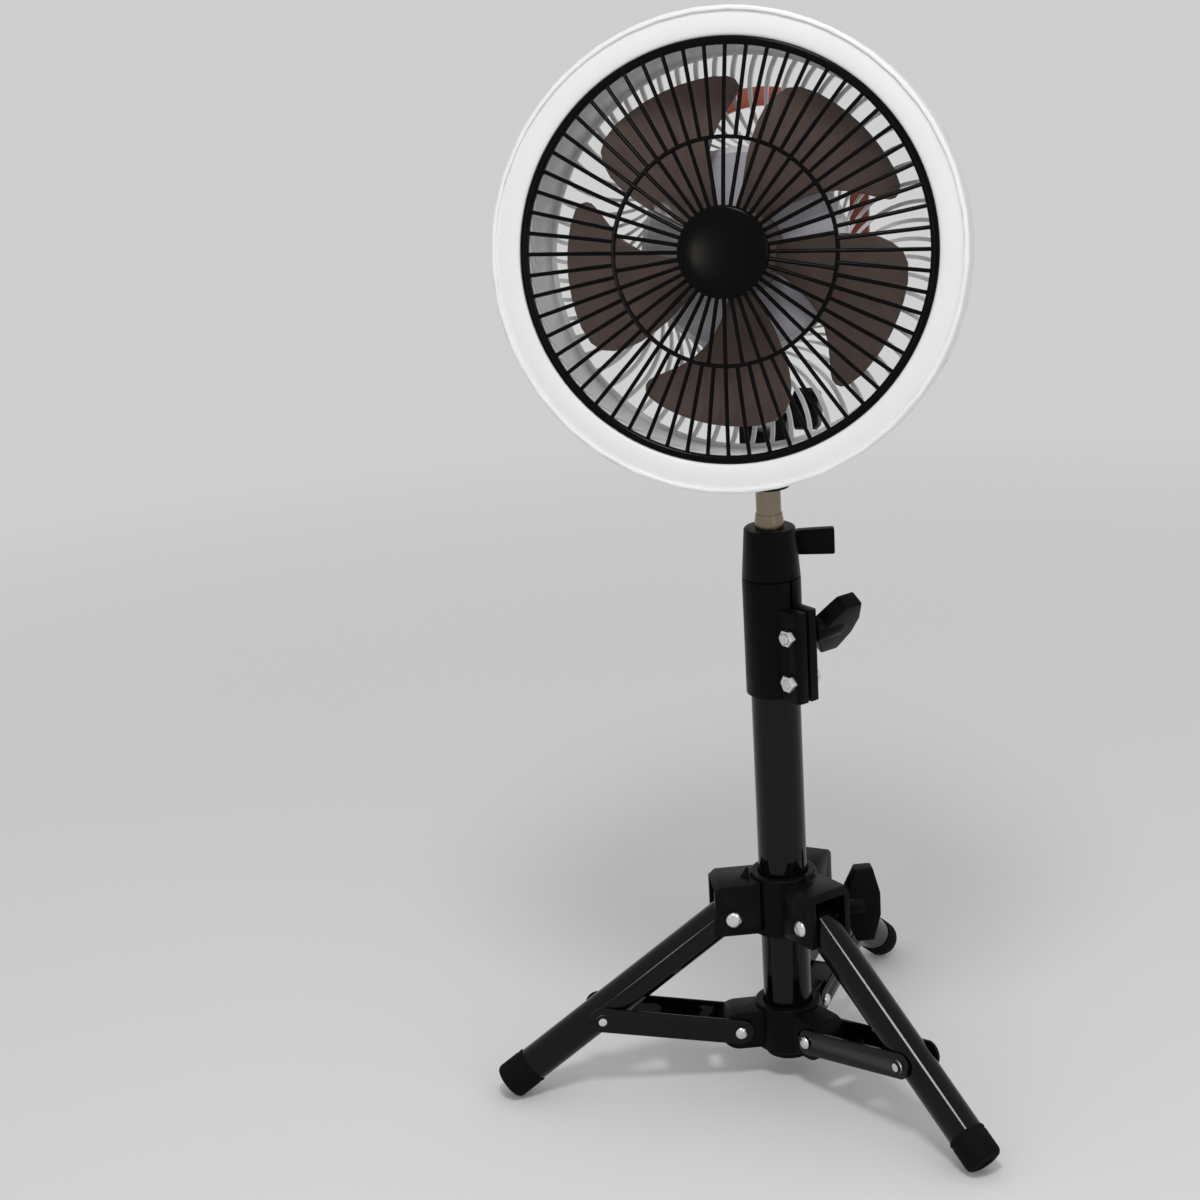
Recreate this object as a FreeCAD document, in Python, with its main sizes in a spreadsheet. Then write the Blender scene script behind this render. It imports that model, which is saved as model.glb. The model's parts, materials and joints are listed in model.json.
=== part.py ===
import FreeCAD, Part
import math
import os

import Sketcher

# Portable camping fan: a round fan head with a ring light, tilted on a small
# telescopic tripod. The origin is on the tripod's axis at floor level, +Z is up
# and the head faces -Y. Lengths are millimetres, angles degrees.

SIZES = (
    # tripod tubes
    ("main_radius", 11, "outside radius of the main tube"),
    ("tube_wall", 1, "wall of every telescopic tube"),
    ("main_bottom", 12, "height of the main tube's lower end"),
    ("main_grip", 20.5, "length of main tube held in the lower clamp"),
    ("middle_radius", 8.5, "outside radius of the middle tube"),
    ("middle_bottom", 62, "height of the middle tube's lower end, tripod collapsed"),
    ("inner_radius", 5.5, "outside radius of the inner tube"),
    ("inner_bottom", 82, "height of the inner tube's lower end, tripod collapsed"),
    ("running_fit", 0.06, "radial clearance of a sliding or turning fit"),
    ("seat_gap", 0.1, "gap under a knob or a button's flange"),
    ("move_gap", 0.35, "gap between faces that pass or meet when something moves"),
    # leg linkage
    ("leg_count", 3, "legs round the main tube"),
    ("leg_azimuth", 198, "direction of the first leg, from +X"),
    ("leg_angle", 54.35, "spread of a leg from the vertical"),
    ("leg_radius", 8, "radius of a leg tube"),
    ("leg_length", 131.4, "hub hinge to the centre of the foot's end"),
    ("hub_pivot_radius", 24.8, "tripod axis to a leg hinge"),
    ("strut_along", 76.6, "hub hinge to the strut's rivet, along the leg"),
    ("collar_pivot_radius", 23.5, "tripod axis to a strut pivot"),
    ("collar_pivot_rise", 10.3, "lower collar's lower face up to the strut pivots"),
    ("foot_length", 15, "length of a rubber foot"),
    ("foot_skin", 0.7, "how far the rubber foot stands out from the leg tube"),
    ("foot_round", 2.2, "rounding of a foot's end"),
    ("strut_height", 12, "height of a strut's cheek"),
    ("strut_sheet", 1.2, "thickness of a strut's sheet"),
    ("web_start", 13, "strut pivot to the start of the strut's web"),
    ("web_length", 21, "length of the strut's web"),
    ("rivet_radius", 3, "radius of a strut rivet's head"),
    ("rivet_height", 1.8, "height of a rivet's head"),
    ("pin_radius", 2, "radius of the hinge pins"),
    # hub and lower collar
    ("sleeve_radius", 15.2, "outside radius of the hub's and the collar's sleeve"),
    ("hub_drop", 9.8, "leg hinges down to the hub's lower face"),
    ("hub_height", 28, "height of the hub's sleeve"),
    ("hub_reach", 33, "tripod axis to the end of a hub arm"),
    ("cheek_wall", 2.8, "thickness of a hub arm's cheek"),
    ("hub_pin_radius", 3.8, "radius of a hub pin's head"),
    ("hub_roof", 2.6, "thickness of a hub arm's roof"),
    ("roof_drop", 1.8, "hub's upper face down to the roofs of its arms"),
    ("fin_rise", 4, "height of the fins on the hub arms"),
    ("collar_bottom", 15, "height of the lower collar's lower face"),
    ("collar_height", 21.5, "height of the lower collar"),
    ("collar_end_radius", 9, "radius of a lower collar arm's rounded end"),
    # tube clamps
    ("lower_clamp_bottom", 187.5, "height of the lower clamp's lower face"),
    ("lower_clamp_height", 53.5, "height of the lower clamp"),
    ("lower_clamp_radius", 13, "outside radius of the lower clamp"),
    ("upper_clamp_height", 22, "height of the upper clamp"),
    ("upper_clamp_low_radius", 12.9, "radius of the upper clamp's lower edge"),
    ("upper_clamp_high_radius", 11.3, "radius of the upper clamp's upper edge"),
    ("ear_thickness", 5.5, "thickness of a clamp ear"),
    ("ear_slit", 1.6, "width of the slit between two clamp ears"),
    ("ear_reach", 23, "tripod axis to the end of a lower clamp ear"),
    ("ear_bolt_radius", 18.2, "tripod axis to the lower clamp's bolts"),
    ("lower_ear_azimuth", 320, "direction of the lower clamp's ears"),
    ("upper_ear_azimuth", 99.6, "direction of the upper clamp's ears"),
    ("upper_ear_reach", 20, "tripod axis to the end of an upper clamp ear"),
    ("upper_bolt_radius", 16, "tripod axis to the upper clamp's bolt"),
    ("bolt_radius", 2, "radius of the clamp bolts"),
    ("nut_radius", 4, "corner radius of the nuts"),
    ("nut_height", 3.2, "height of the nuts"),
    ("knob_bolt_drop", 23, "lower clamp's upper face down to its knob bolt"),
    ("fixed_bolt_rise", 9.5, "lower clamp's lower face up to its fixed bolt"),
    ("ear_drop", 12, "lower clamp's upper face down to its ears"),
    ("clamp_grip", 9, "length of middle tube held in the upper clamp"),
    ("upper_bolt_above", 9.8, "upper clamp's lower face to its bolt"),
    # knobs
    ("wing_span", 31, "span of the lower clamp's wing knob"),
    ("wing_depth", 23.5, "depth of the lower clamp's wing knob along its bolt"),
    ("hub_wing_span", 36, "span of the hub's wing knob"),
    ("hub_wing_depth", 20, "depth of the hub's wing knob along its bolt"),
    ("wing_thickness", 8, "thickness of a wing knob's blade"),
    ("lower_wing_turn", 35, "turn of the lower clamp's wing knob from upright"),
    ("wing_boss", 5.6, "radius of a wing knob's boss"),
    ("hub_knob_azimuth", 18, "direction of the hub's wing knob"),
    ("hub_boss_reach", 24, "tripod axis to the face of the hub's knob boss"),
    ("hub_boss_radius", 6.5, "radius of the hub's knob boss"),
    ("hub_knob_rise", 7.5, "hub's lower face up to its knob"),
    ("bar_span", 12.2, "span of the upper clamp's flat knob"),
    ("bar_depth", 21, "depth of the upper clamp's flat knob along its bolt"),
    ("bar_thickness", 5, "thickness of the upper clamp's flat knob"),
    # tilt bracket
    ("ferrule_length", 6, "length of the inner tube's flared ferrule"),
    ("ferrule_radius", 6.4, "radius of the ferrule's flare"),
    ("inner_show", 12, "length of inner tube seen between ferrule and bracket"),
    ("socket_depth", 17, "depth of the bracket's socket on the inner tube"),
    ("socket_radius", 9.5, "outside radius of the bracket's socket"),
    ("tilt_rise", 17.6, "inner tube's top up to the tilt pivot"),
    ("knuckle_radius", 9, "radius of the tilt knuckle"),
    ("lug_thickness", 8, "thickness of the head's tilt lug"),
    ("fork_width", 20, "width of the bracket's fork"),
    ("tilt_bolt_radius", 2.5, "radius of the tilt bolt"),
    ("tilt_knob_radius", 9, "radius of the tilt knob"),
    ("tilt_knob_depth", 14, "depth of the tilt knob"),
    ("tilt_lobes", 6, "grip grooves round the tilt knob"),
    # head as a whole
    ("head_tilt", 11, "upward tilt of the head"),
    ("head_rise", 69.1, "tilt pivot up to where the head's axis crosses the tripod's"),
    ("ring_plane", 78, "tripod axis to the front of the ring, along the head's axis"),
    ("head_depth", 40, "depth of the ring from its front plane to its back"),
    # ring and light
    ("face_width", 11.8, "width of the ring's face beside the front grille"),
    ("ring_taper", 3.5, "how much narrower the ring is at its back"),
    ("ring_wall", 2, "wall of the ring"),
    ("lip_height", 1.5, "how far the ring's lip stands before the ring plane"),
    ("duct_radius", 80.7, "inside radius of the air duct"),
    ("shelf_depth", 12, "depth of the light's shelf behind the ring plane"),
    ("board_thickness", 1.6, "thickness of a circuit board"),
    ("diffuser_thickness", 2.5, "thickness of the light's diffuser"),
    # front grille
    ("grille_overlap", 3.5, "how far the front grille's ring reaches past the duct"),
    ("grille_ring_width", 3.4, "width of the front grille's ring"),
    ("grille_thickness", 2.6, "thickness of the front grille"),
    ("grille_dome", 7, "rise of the front grille's dome"),
    ("mid_ring_radius", 45, "radius of the grille's middle ring"),
    ("mid_ring_width", 1.6, "width of the grille's middle ring"),
    ("bar_width", 1.7, "width of a grille bar"),
    ("outer_bars", 60, "bars outside the middle ring"),
    ("inner_bars", 40, "bars inside the middle ring"),
    ("cap_radius", 18.4, "radius of the hub cap"),
    ("cap_height", 2.6, "height of the hub cap"),
    # rotor
    ("blade_count", 5, "fan blades"),
    ("blade_radius", 71, "radius of the blade tips"),
    ("blade_phase", 17.4, "angle of the first blade's nose, from the right"),
    ("blade_thickness", 1.6, "thickness of a blade"),
    ("blade_rise", 15, "axial rise of a blade along its sweep"),
    ("blade_plane", 24, "ring plane to the middle of the blades"),
    ("rotor_hub_radius", 18, "radius of the rotor's hub"),
    ("rotor_hub_height", 20, "height of the rotor's hub"),
    ("rotor_hub_wall", 2, "wall of the rotor's hub"),
    ("shaft_radius", 1.5, "radius of the motor's shaft"),
    ("spinner_radius", 5, "radius of the rotor's nut"),
    # rear grille
    ("rear_thickness", 3, "thickness of the rear grille"),
    ("rear_hub_wall", 2.5, "width of the rear grille's inner ring"),
    ("rear_bars", 60, "bars of the rear grille"),
    ("rear_swirl", 14, "turn of a rear bar between its ends"),
    ("screw_radius", 2.6, "radius of the ring screws' heads"),
    ("screw_height", 1.6, "height of the ring screws' heads"),
    # battery pod
    ("pod_radius", 40, "radius of the pod's front part"),
    ("pod_rear_radius", 34, "radius of the pod's rear part"),
    ("pod_step", 2, "tripod axis back to the pod's step"),
    ("pod_rear", 24, "tripod axis back to the pod's rear edge"),
    ("pod_wall", 2, "wall of the pod"),
    ("cover_depth", 5, "depth of the pod's rear cover"),
    ("cover_round", 3, "rounding of the rear cover"),
    ("cell_radius", 9.1, "radius of a battery cell"),
    ("cell_length", 64, "length of a battery cell"),
    ("cell_spacing", 18.4, "distance between the battery cells"),
    ("motor_radius", 14, "radius of the motor"),
    ("motor_length", 15, "length of the motor"),
    ("board_width", 46, "width of the control board"),
    ("board_height", 30, "height of the control board"),
    ("post_length", 9, "length of the cover's board posts"),
    ("power_radius", 6, "radius of the power button"),
    ("light_radius", 4.5, "radius of the light button"),
    ("button_height", 1.6, "how far a button stands out"),
    ("button_spacing", 17, "distance between the buttons"),
    ("button_flange", 1.2, "width of a button's inner flange"),
    ("port_width", 9, "width of the charging port"),
    ("port_height", 3.4, "height of the charging port"),
    ("port_drop", 12, "cover's centre down to the charging port"),
    ("lens_width", 14, "width of the indicator lens"),
    ("lens_height", 2.4, "height of the indicator lens"),
    ("lens_rise", 12, "cover's centre up to the indicator lens"),
    # hanging hook
    ("hook_radius", 41, "middle radius of the hook's arch"),
    ("hook_band", 8, "width of the hook's band"),
    ("hook_thickness", 5, "thickness of the hook's band"),
    ("hook_leg", 24, "pivot to the hook's arch"),
    ("hook_behind", 16, "tripod axis back to the hook's plane"),
    ("hook_boss_radius", 4.5, "radius of the pod's hook bosses"),
)

doc = FreeCAD.newDocument("CampingFan")
sheet = doc.addObject("Spreadsheet::Sheet", "Sizes")


class Size:
    """A number together with the sheet formula that it comes from."""

    def __init__(self, number, formula):
        self.number = number
        self.formula = formula

    def __add__(self, other):
        return join(self, "+", other)

    def __radd__(self, other):
        return join(other, "+", self)

    def __sub__(self, other):
        return join(self, "-", other)

    def __rsub__(self, other):
        return join(other, "-", self)

    def __mul__(self, other):
        return join(self, "*", other)

    def __rmul__(self, other):
        return join(other, "*", self)

    def __truediv__(self, other):
        return join(self, "/", other)

    def __rtruediv__(self, other):
        return join(other, "/", self)

    def __neg__(self):
        return Size(-self.number, "(-" + self.formula + ")")


def size(value):
    """A plain number becomes a Size; a Size stays itself."""
    if isinstance(value, Size):
        return value
    return Size(float(value), "(" + repr(float(value)) + ")")


def join(left, sign, right):
    left = size(left)
    right = size(right)
    numbers = {
        "+": left.number + right.number,
        "-": left.number - right.number,
        "*": left.number * right.number,
        "/": left.number / right.number if right.number else 0.0,
    }
    return Size(numbers[sign], "(" + left.formula + " " + sign + " " + right.formula + ")")


def sine(angle):
    angle = size(angle)
    return Size(math.sin(math.radians(angle.number)), "sin(" + angle.formula + ")")


def cosine(angle):
    angle = size(angle)
    return Size(math.cos(math.radians(angle.number)), "cos(" + angle.formula + ")")


def root(value):
    return Size(math.sqrt(value.number), "sqrt(" + value.formula + ")")


class Sheet:
    """The driving sizes by name."""


def fill_sheet():
    """Write the driving sizes into the sheet and return them by name."""
    sizes = Sheet()
    for row, (name, number, meaning) in enumerate(SIZES, start=1):
        sheet.set("A" + str(row), name)
        sheet.set("B" + str(row), str(number))
        sheet.set("C" + str(row), meaning)
        sheet.setAlias("B" + str(row), name)
        setattr(sizes, name, Size(float(number), "Sizes." + name))
    doc.recompute()
    return sizes


s = fill_sheet()

# Sizes that several pieces share
hub_pivot_height = (
    (s.leg_length - s.foot_round) * cosine(s.leg_angle)
    + (s.leg_radius + s.foot_skin - s.foot_round) * sine(s.leg_angle)
    + s.foot_round
)
hub_bottom = hub_pivot_height - s.hub_drop
hub_knob_height = hub_bottom + s.hub_knob_rise
collar_pivot_height = s.collar_bottom + s.collar_pivot_rise
main_bore = s.main_radius - s.tube_wall
main_top = s.lower_clamp_bottom + s.main_grip
lower_clamp_top = s.lower_clamp_bottom + s.lower_clamp_height
knob_bolt_height = lower_clamp_top - s.knob_bolt_drop
fixed_bolt_height = s.lower_clamp_bottom + s.fixed_bolt_rise
middle_bore = s.middle_radius - s.tube_wall
upper_clamp_bottom = lower_clamp_top + s.move_gap
upper_clamp_top = upper_clamp_bottom + s.upper_clamp_height
ferrule_bottom = upper_clamp_top + s.move_gap
ferrule_top = ferrule_bottom + s.ferrule_length
socket_bottom = ferrule_top + s.inner_show
inner_top = socket_bottom + s.socket_depth
tilt_height = inner_top + s.tilt_rise
head_height = tilt_height + s.head_rise
cheek_inside = s.leg_radius + s.move_gap
strut_outside = cheek_inside + s.strut_sheet
hub_cheek_outside = cheek_inside + s.cheek_wall
hub_top = hub_bottom + s.hub_height
knob_seat = s.ear_slit / 2 + s.ear_thickness
fork_slot = s.lug_thickness / 2 + s.move_gap
ring_back = s.ring_plane - s.head_depth
shelf_front = s.ring_plane - s.shelf_depth
duct_front = s.ring_plane - s.grille_thickness
blade_middle = s.ring_plane - s.blade_plane
cover_back = s.pod_rear + s.cover_depth
pod_front = ring_back + s.rear_thickness
hook_plane = -s.hook_behind
hook_inner = s.hook_radius - s.hook_band / 2
hook_outer = s.hook_radius + s.hook_band / 2
board_back = s.post_length - s.pod_rear - s.cover_depth + s.pod_wall
grille_radius = s.duct_radius + s.grille_overlap
grille_inner = grille_radius - s.grille_ring_width
ring_radius = grille_radius + s.face_width
ring_back_radius = ring_radius - s.ring_taper

strut_rise = (
    hub_pivot_height
    - s.strut_along * cosine(s.leg_angle)
    - collar_pivot_height
)
strut_run = s.hub_pivot_radius + s.strut_along * sine(s.leg_angle) - s.collar_pivot_radius
strut_length = root(strut_rise * strut_rise + strut_run * strut_run)
strut_slope = Size(
    math.degrees(math.atan2(strut_rise.number, strut_run.number)),
    "atan(" + strut_rise.formula + " / " + strut_run.formula + ")",
)

parts = []


def vector_formula(x, y, z):
    texts = [size(value).formula for value in (x, y, z)]
    return "vector(" + "; ".join(texts) + ")"


def turn_formula(axis, angle):
    return "rotation(vector(" + axis + "); " + size(angle).formula + ")"


TURN_X = "1; 0; 0"
TURN_Y = "0; 1; 0"
TURN_Z = "0; 0; 1"


def place(item, spot, *turns):
    """Bind an object's placement: its spot, then turns from the outermost in."""
    rotation = " * ".join(turn_formula(axis, angle) for axis, angle in turns)
    if not turns:
        rotation = turn_formula(TURN_Z, 0)
    item.setExpression("Placement", "placement(" + vector_formula(*spot) + "; " + rotation + ")")


def place_in_head(item, spot=(0, 0, 0), *turns):
    """Place an object given in the head's frame: x right, y up, z forward."""
    x, y, z = (size(value) for value in spot)
    rise = 90 - s.head_tilt
    world = (
        x,
        y * cosine(rise) - z * sine(rise),
        head_height + y * sine(rise) + z * cosine(rise),
    )
    place(item, world, (TURN_X, rise), *turns)


def origin_plane(body, role):
    return [item for item in body.Origin.OriginFeatures if item.Role == role][0]


def new_body(label):
    body = doc.addObject("PartDesign::Body", label)
    body.Label = label
    parts.append(body)
    return body


def new_sketch(body, plane, offset=0, turns=()):
    """A sketch on an origin plane, shifted along its normal and turned."""
    sketch = body.newObject("Sketcher::SketchObject", body.Name + "_sketch")
    sketch.AttachmentSupport = [(origin_plane(body, plane), "")]
    sketch.MapMode = "FlatFace"
    rotation = " * ".join(turn_formula(axis, angle) for axis, angle in turns)
    if not turns:
        rotation = turn_formula(TURN_Z, 0)
    shift = vector_formula(0, 0, offset)
    sketch.setExpression("AttachmentOffset", "placement(" + shift + "; " + rotation + ")")
    return sketch


def arc_centre(start, end, radius):
    """Centre of the arc from start to end; a negative radius bends it the other way."""
    half = (end - start).Length / 2
    across = FreeCAD.Vector(start.y - end.y, end.x - start.x, 0).normalize()
    depth = math.sqrt(max(radius * radius - half * half, 0.0))
    return (start + end) * 0.5 + across * math.copysign(depth, radius)


def dimension(sketch, kind, where, value):
    """Add one constraint and bind it to the sheet."""
    value = size(value)
    index = sketch.addConstraint(Sketcher.Constraint(kind, *where, value.number))
    sketch.setExpression("Constraints[" + str(index) + "]", value.formula)


def draw_outline(sketch, corners):
    """A closed outline. A corner is (x, y) or (x, y, radius of the arc to the next)."""
    count = len(corners)
    spots = [FreeCAD.Vector(size(c[0]).number, size(c[1]).number, 0) for c in corners]
    first = sketch.GeometryCount
    for index, corner in enumerate(corners):
        start = spots[index]
        end = spots[(index + 1) % count]
        if len(corner) == 2:
            sketch.addGeometry(Part.LineSegment(start, end), False)
            continue
        radius = size(corner[2]).number
        centre = arc_centre(start, end, radius)
        turn = 1 if radius > 0 else -1
        ends = (start, end) if turn > 0 else (end, start)
        angles = [math.atan2(spot.y - centre.y, spot.x - centre.x) for spot in ends]
        circle = Part.Circle(centre, FreeCAD.Vector(0, 0, 1), abs(radius))
        sketch.addGeometry(Part.ArcOfCircle(circle, *angles), False)

    def end_of(index, at_start):
        corner = corners[index]
        forward = len(corner) == 2 or size(corner[2]).number > 0
        return 1 if forward == at_start else 2

    for index, corner in enumerate(corners):
        after = (index + 1) % count
        here = (first + index, end_of(index, True))
        joined = (first + index, end_of(index, False), first + after, end_of(after, True))
        sketch.addConstraint(Sketcher.Constraint("Coincident", *joined))
        dimension(sketch, "DistanceX", (-1, 1) + here, corner[0])
        dimension(sketch, "DistanceY", (-1, 1) + here, corner[1])
        if len(corner) == 3:
            size_arc(sketch, first + index, corner, spots[index], spots[after])


def size_arc(sketch, index, corner, start, end):
    """Fix an arc by its radius, or a half circle by where its centre lies."""
    radius = size(corner[2])
    if radius.number < 0:
        radius = -radius
    if (end - start).Length < 1.999 * radius.number:
        dimension(sketch, "Radius", (index,), radius)
    elif abs(end.x - start.x) < abs(end.y - start.y):
        dimension(sketch, "DistanceX", (-1, 1, index, 3), corner[0])
    else:
        dimension(sketch, "DistanceY", (-1, 1, index, 3), corner[1])


def draw_circle(sketch, radius, x=0, y=0):
    radius = size(radius)
    centre = FreeCAD.Vector(size(x).number, size(y).number, 0)
    index = sketch.addGeometry(Part.Circle(centre, FreeCAD.Vector(0, 0, 1), radius.number), False)
    dimension(sketch, "DistanceX", (-1, 1, index, 3), x)
    dimension(sketch, "DistanceY", (-1, 1, index, 3), y)
    dimension(sketch, "Radius", (index,), radius)


def revolve(body, corners):
    """Turn an outline of (radius, height) about the body's Z axis."""
    sketch = new_sketch(body, "XZ_Plane")
    draw_outline(sketch, corners)
    feature = body.newObject("PartDesign::Revolution", body.Name + "_turned")
    feature.Profile = sketch
    feature.ReferenceAxis = (sketch, ["V_Axis"])
    feature.Angle = 360
    return feature


def set_extent(feature, sketch, length, symmetric, reverse):
    feature.Profile = sketch
    if length is None:
        feature.Type = "ThroughAll"
    else:
        feature.setExpression("Length", size(length).formula)
    feature.SideType = "Symmetric" if symmetric else "One side"
    feature.Reversed = reverse


def pad(body, sketch, length, symmetric=False, reverse=False):
    feature = body.newObject("PartDesign::Pad", body.Name + "_pad")
    set_extent(feature, sketch, length, symmetric, reverse)
    return feature


def pocket(body, sketch, length=None, symmetric=True, reverse=False):
    """Cut a sketch out of the body, by default right through both ways."""
    feature = body.newObject("PartDesign::Pocket", body.Name + "_pocket")
    set_extent(feature, sketch, length, symmetric, reverse)
    return feature


def polar(body, feature, count):
    pattern = body.newObject("PartDesign::PolarPattern", body.Name + "_pattern")
    pattern.Originals = [feature]
    pattern.Axis = (origin_plane(body, "Z_Axis"), [""])
    pattern.Angle = 360
    pattern.setExpression("Occurrences", size(count).formula)
    body.Tip = pattern
    return pattern


def round_edges(body, radius, wanted):
    """Fillet the edges of the body that the test picks by their middle point."""
    doc.recompute()
    tip = body.Tip
    names = []
    for number, edge in enumerate(tip.Shape.Edges, start=1):
        if wanted(edge):
            names.append("Edge" + str(number))
    feature = body.newObject("PartDesign::Fillet", body.Name + "_round")
    feature.Base = (tip, names)
    feature.setExpression("Radius", size(radius).formula)
    return feature


def near(left, right):
    return abs(left - size(right).number) < 0.01


def at_height(height):
    """A test for the edges that lie wholly at one height of the body."""
    return lambda edge: near(edge.BoundBox.ZMin, height) and near(edge.BoundBox.ZMax, height)


def rectangle(left, low, right, high):
    return [(left, low), (right, low), (right, high), (left, high)]


def turned(label, corners):
    body = new_body(label)
    revolve(body, corners)
    return body


def tube(label, radius, wall, bottom, top):
    body = turned(label, rectangle(radius - wall, bottom, radius, top))
    place(body, (0, 0, 0))
    return body


def leg_direction(index):
    return s.leg_azimuth + 360 / s.leg_count * index


def build_column():
    """Main tube with its end plug, fixed to the floor side of the tripod."""
    tube("main_tube", s.main_radius, s.tube_wall, s.main_bottom, main_top)
    plug_flange = 2
    plug = turned(
        "tube_plug",
        [
            (0, s.main_bottom - plug_flange),
            (s.main_radius, s.main_bottom - plug_flange),
            (s.main_radius, s.main_bottom),
            (main_bore, s.main_bottom),
            (main_bore, s.main_bottom + 8),
            (0, s.main_bottom + 8),
        ],
    )
    place(plug, (0, 0, 0))
    round_edges(plug, 1, at_height(s.main_bottom - plug_flange))


def arm_outline(reach, low, high, end_radius):
    """Side outline of an arm from inside its sleeve out to its rounded end."""
    inner = s.main_radius + 1.5
    return [(inner, low), (reach, low, end_radius), (reach, high), (inner, high)]


def build_lower_collar():
    """Collar on the foot of the main tube, with a tongue for each strut."""
    body = turned(
        "lower_collar",
        rectangle(s.main_radius, s.collar_bottom, s.sleeve_radius, s.collar_bottom + s.collar_height),
    )
    place(body, (0, 0, 0))
    for index in range(int(s.leg_count.number)):
        sketch = new_sketch(body, "XZ_Plane", 0, ((TURN_Y, leg_direction(index)),))
        low = collar_pivot_height - s.collar_end_radius
        high = collar_pivot_height + s.collar_end_radius
        draw_outline(sketch, arm_outline(s.collar_pivot_radius, low, high, s.collar_end_radius))
        pad(body, sketch, 2 * s.leg_radius, symmetric=True)
        hole = new_sketch(body, "XZ_Plane", 0, ((TURN_Y, leg_direction(index)),))
        draw_circle(hole, s.pin_radius, s.collar_pivot_radius, collar_pivot_height)
        pocket(body, hole, 2 * s.leg_radius + 4)
    round_edges(body, 1.2, at_height(s.collar_bottom + s.collar_height))


def pin(label, spot, direction, half_length, head_radius):
    """A pin across an arm: a shank with a domed head at each end."""
    head_height = s.rivet_height
    shank = s.pin_radius
    end = half_length + head_height
    body = turned(
        label,
        [
            (0, -end),
            (head_radius * 0.7, -end),
            (head_radius, -half_length - head_height * 0.3),
            (head_radius, -half_length),
            (shank, -half_length),
            (shank, half_length),
            (head_radius, half_length),
            (head_radius, half_length + head_height * 0.3),
            (head_radius * 0.7, end),
            (0, end),
        ],
    )
    x, z = spot
    place(body, (x * cosine(direction), x * sine(direction), z), (TURN_Z, direction), (TURN_X, 90))
    return body


def build_leg_hub():
    """Sliding hub with a roofed clevis for each leg and a boss for its knob."""
    bore = s.main_radius + s.running_fit
    body = turned("leg_hub", rectangle(bore, hub_bottom, s.sleeve_radius, hub_top))
    place(body, (0, 0, 0))
    roof_top = hub_top - s.roof_drop
    roof_bottom = roof_top - s.hub_roof
    arm_bottom = hub_bottom + 2
    for index in range(int(s.leg_count.number)):
        turn = ((TURN_Y, leg_direction(index)),)
        arm = new_sketch(body, "XZ_Plane", 0, turn)
        outline = [
            (s.main_radius + 1.5, arm_bottom),
            (s.hub_reach, arm_bottom),
            (s.hub_reach, roof_bottom),
            (s.hub_reach - 3, roof_top),
            (s.main_radius + 1.5, roof_top),
        ]
        draw_outline(arm, outline)
        pad(body, arm, 2 * hub_cheek_outside, symmetric=True)
        slot = new_sketch(body, "XZ_Plane", 0, turn)
        slot_start = s.hub_pivot_radius - s.leg_radius - 0.8
        draw_outline(slot, rectangle(slot_start, arm_bottom - 1, s.hub_reach + 1, roof_bottom))
        pocket(body, slot, 2 * cheek_inside)
        hole = new_sketch(body, "XZ_Plane", 0, turn)
        draw_circle(hole, s.pin_radius, s.hub_pivot_radius, hub_pivot_height)
        pocket(body, hole, 2 * hub_cheek_outside + 2)
        fin = new_sketch(body, "XZ_Plane", 0, turn)
        fin_top = roof_top + s.fin_rise
        fin_start = s.sleeve_radius + 0.6
        fin_outline = [
            (fin_start, roof_bottom + 1),
            (fin_start + s.fin_rise, roof_bottom + 1),
            (fin_start + s.fin_rise, roof_top),
            (fin_start + 1.2, fin_top),
            (fin_start, fin_top),
        ]
        draw_outline(fin, fin_outline)
        pad(body, fin, 2.4, symmetric=True)
    boss = new_sketch(body, "YZ_Plane", 0, ((TURN_Y, s.hub_knob_azimuth),))
    draw_circle(boss, s.hub_boss_radius, 0, hub_knob_height)
    pad(body, boss, s.hub_boss_reach)
    core = new_sketch(body, "XY_Plane", hub_bottom - 1)
    draw_circle(core, bore)
    pocket(body, core, s.hub_height + 2, symmetric=False, reverse=True)
    thread = new_sketch(body, "YZ_Plane", 0, ((TURN_Y, s.hub_knob_azimuth),))
    draw_circle(thread, s.bolt_radius + s.running_fit, 0, hub_knob_height)
    pocket(body, thread, s.hub_boss_reach + 1, symmetric=False, reverse=True)
    round_edges(body, 1.2, at_height(hub_top))


def build_leg(index):
    """A leg tube, rounded at its hinge, with a rubber foot over its lower end."""
    direction = leg_direction(index)
    number = str(index + 1)
    lean = ((TURN_Z, direction), (TURN_Y, -s.leg_angle))
    spot = (
        s.hub_pivot_radius * cosine(direction),
        s.hub_pivot_radius * sine(direction),
        hub_pivot_height,
    )
    tube_end = s.leg_length - 2
    leg = turned(
        "leg_" + number,
        [
            (0, s.leg_radius, -s.leg_radius),
            (s.leg_radius, 0),
            (s.leg_radius, -tube_end),
            (0, -tube_end),
        ],
    )
    hole = new_sketch(leg, "XZ_Plane")
    draw_circle(hole, s.pin_radius + s.running_fit)
    pocket(leg, hole, 2 * s.leg_radius + 2)
    place(leg, spot, *lean)
    outside = s.leg_radius + s.foot_skin
    foot = turned(
        "foot_" + number,
        [
            (0, -tube_end),
            (s.leg_radius, -tube_end),
            (s.leg_radius, -s.leg_length + s.foot_length - s.foot_round),
            (outside, -s.leg_length + s.foot_length - s.foot_round),
            (outside, -s.leg_length + s.foot_round, -s.foot_round),
            (outside - s.foot_round, -s.leg_length),
            (0, -s.leg_length),
        ],
    )
    place(foot, spot, *lean)


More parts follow.
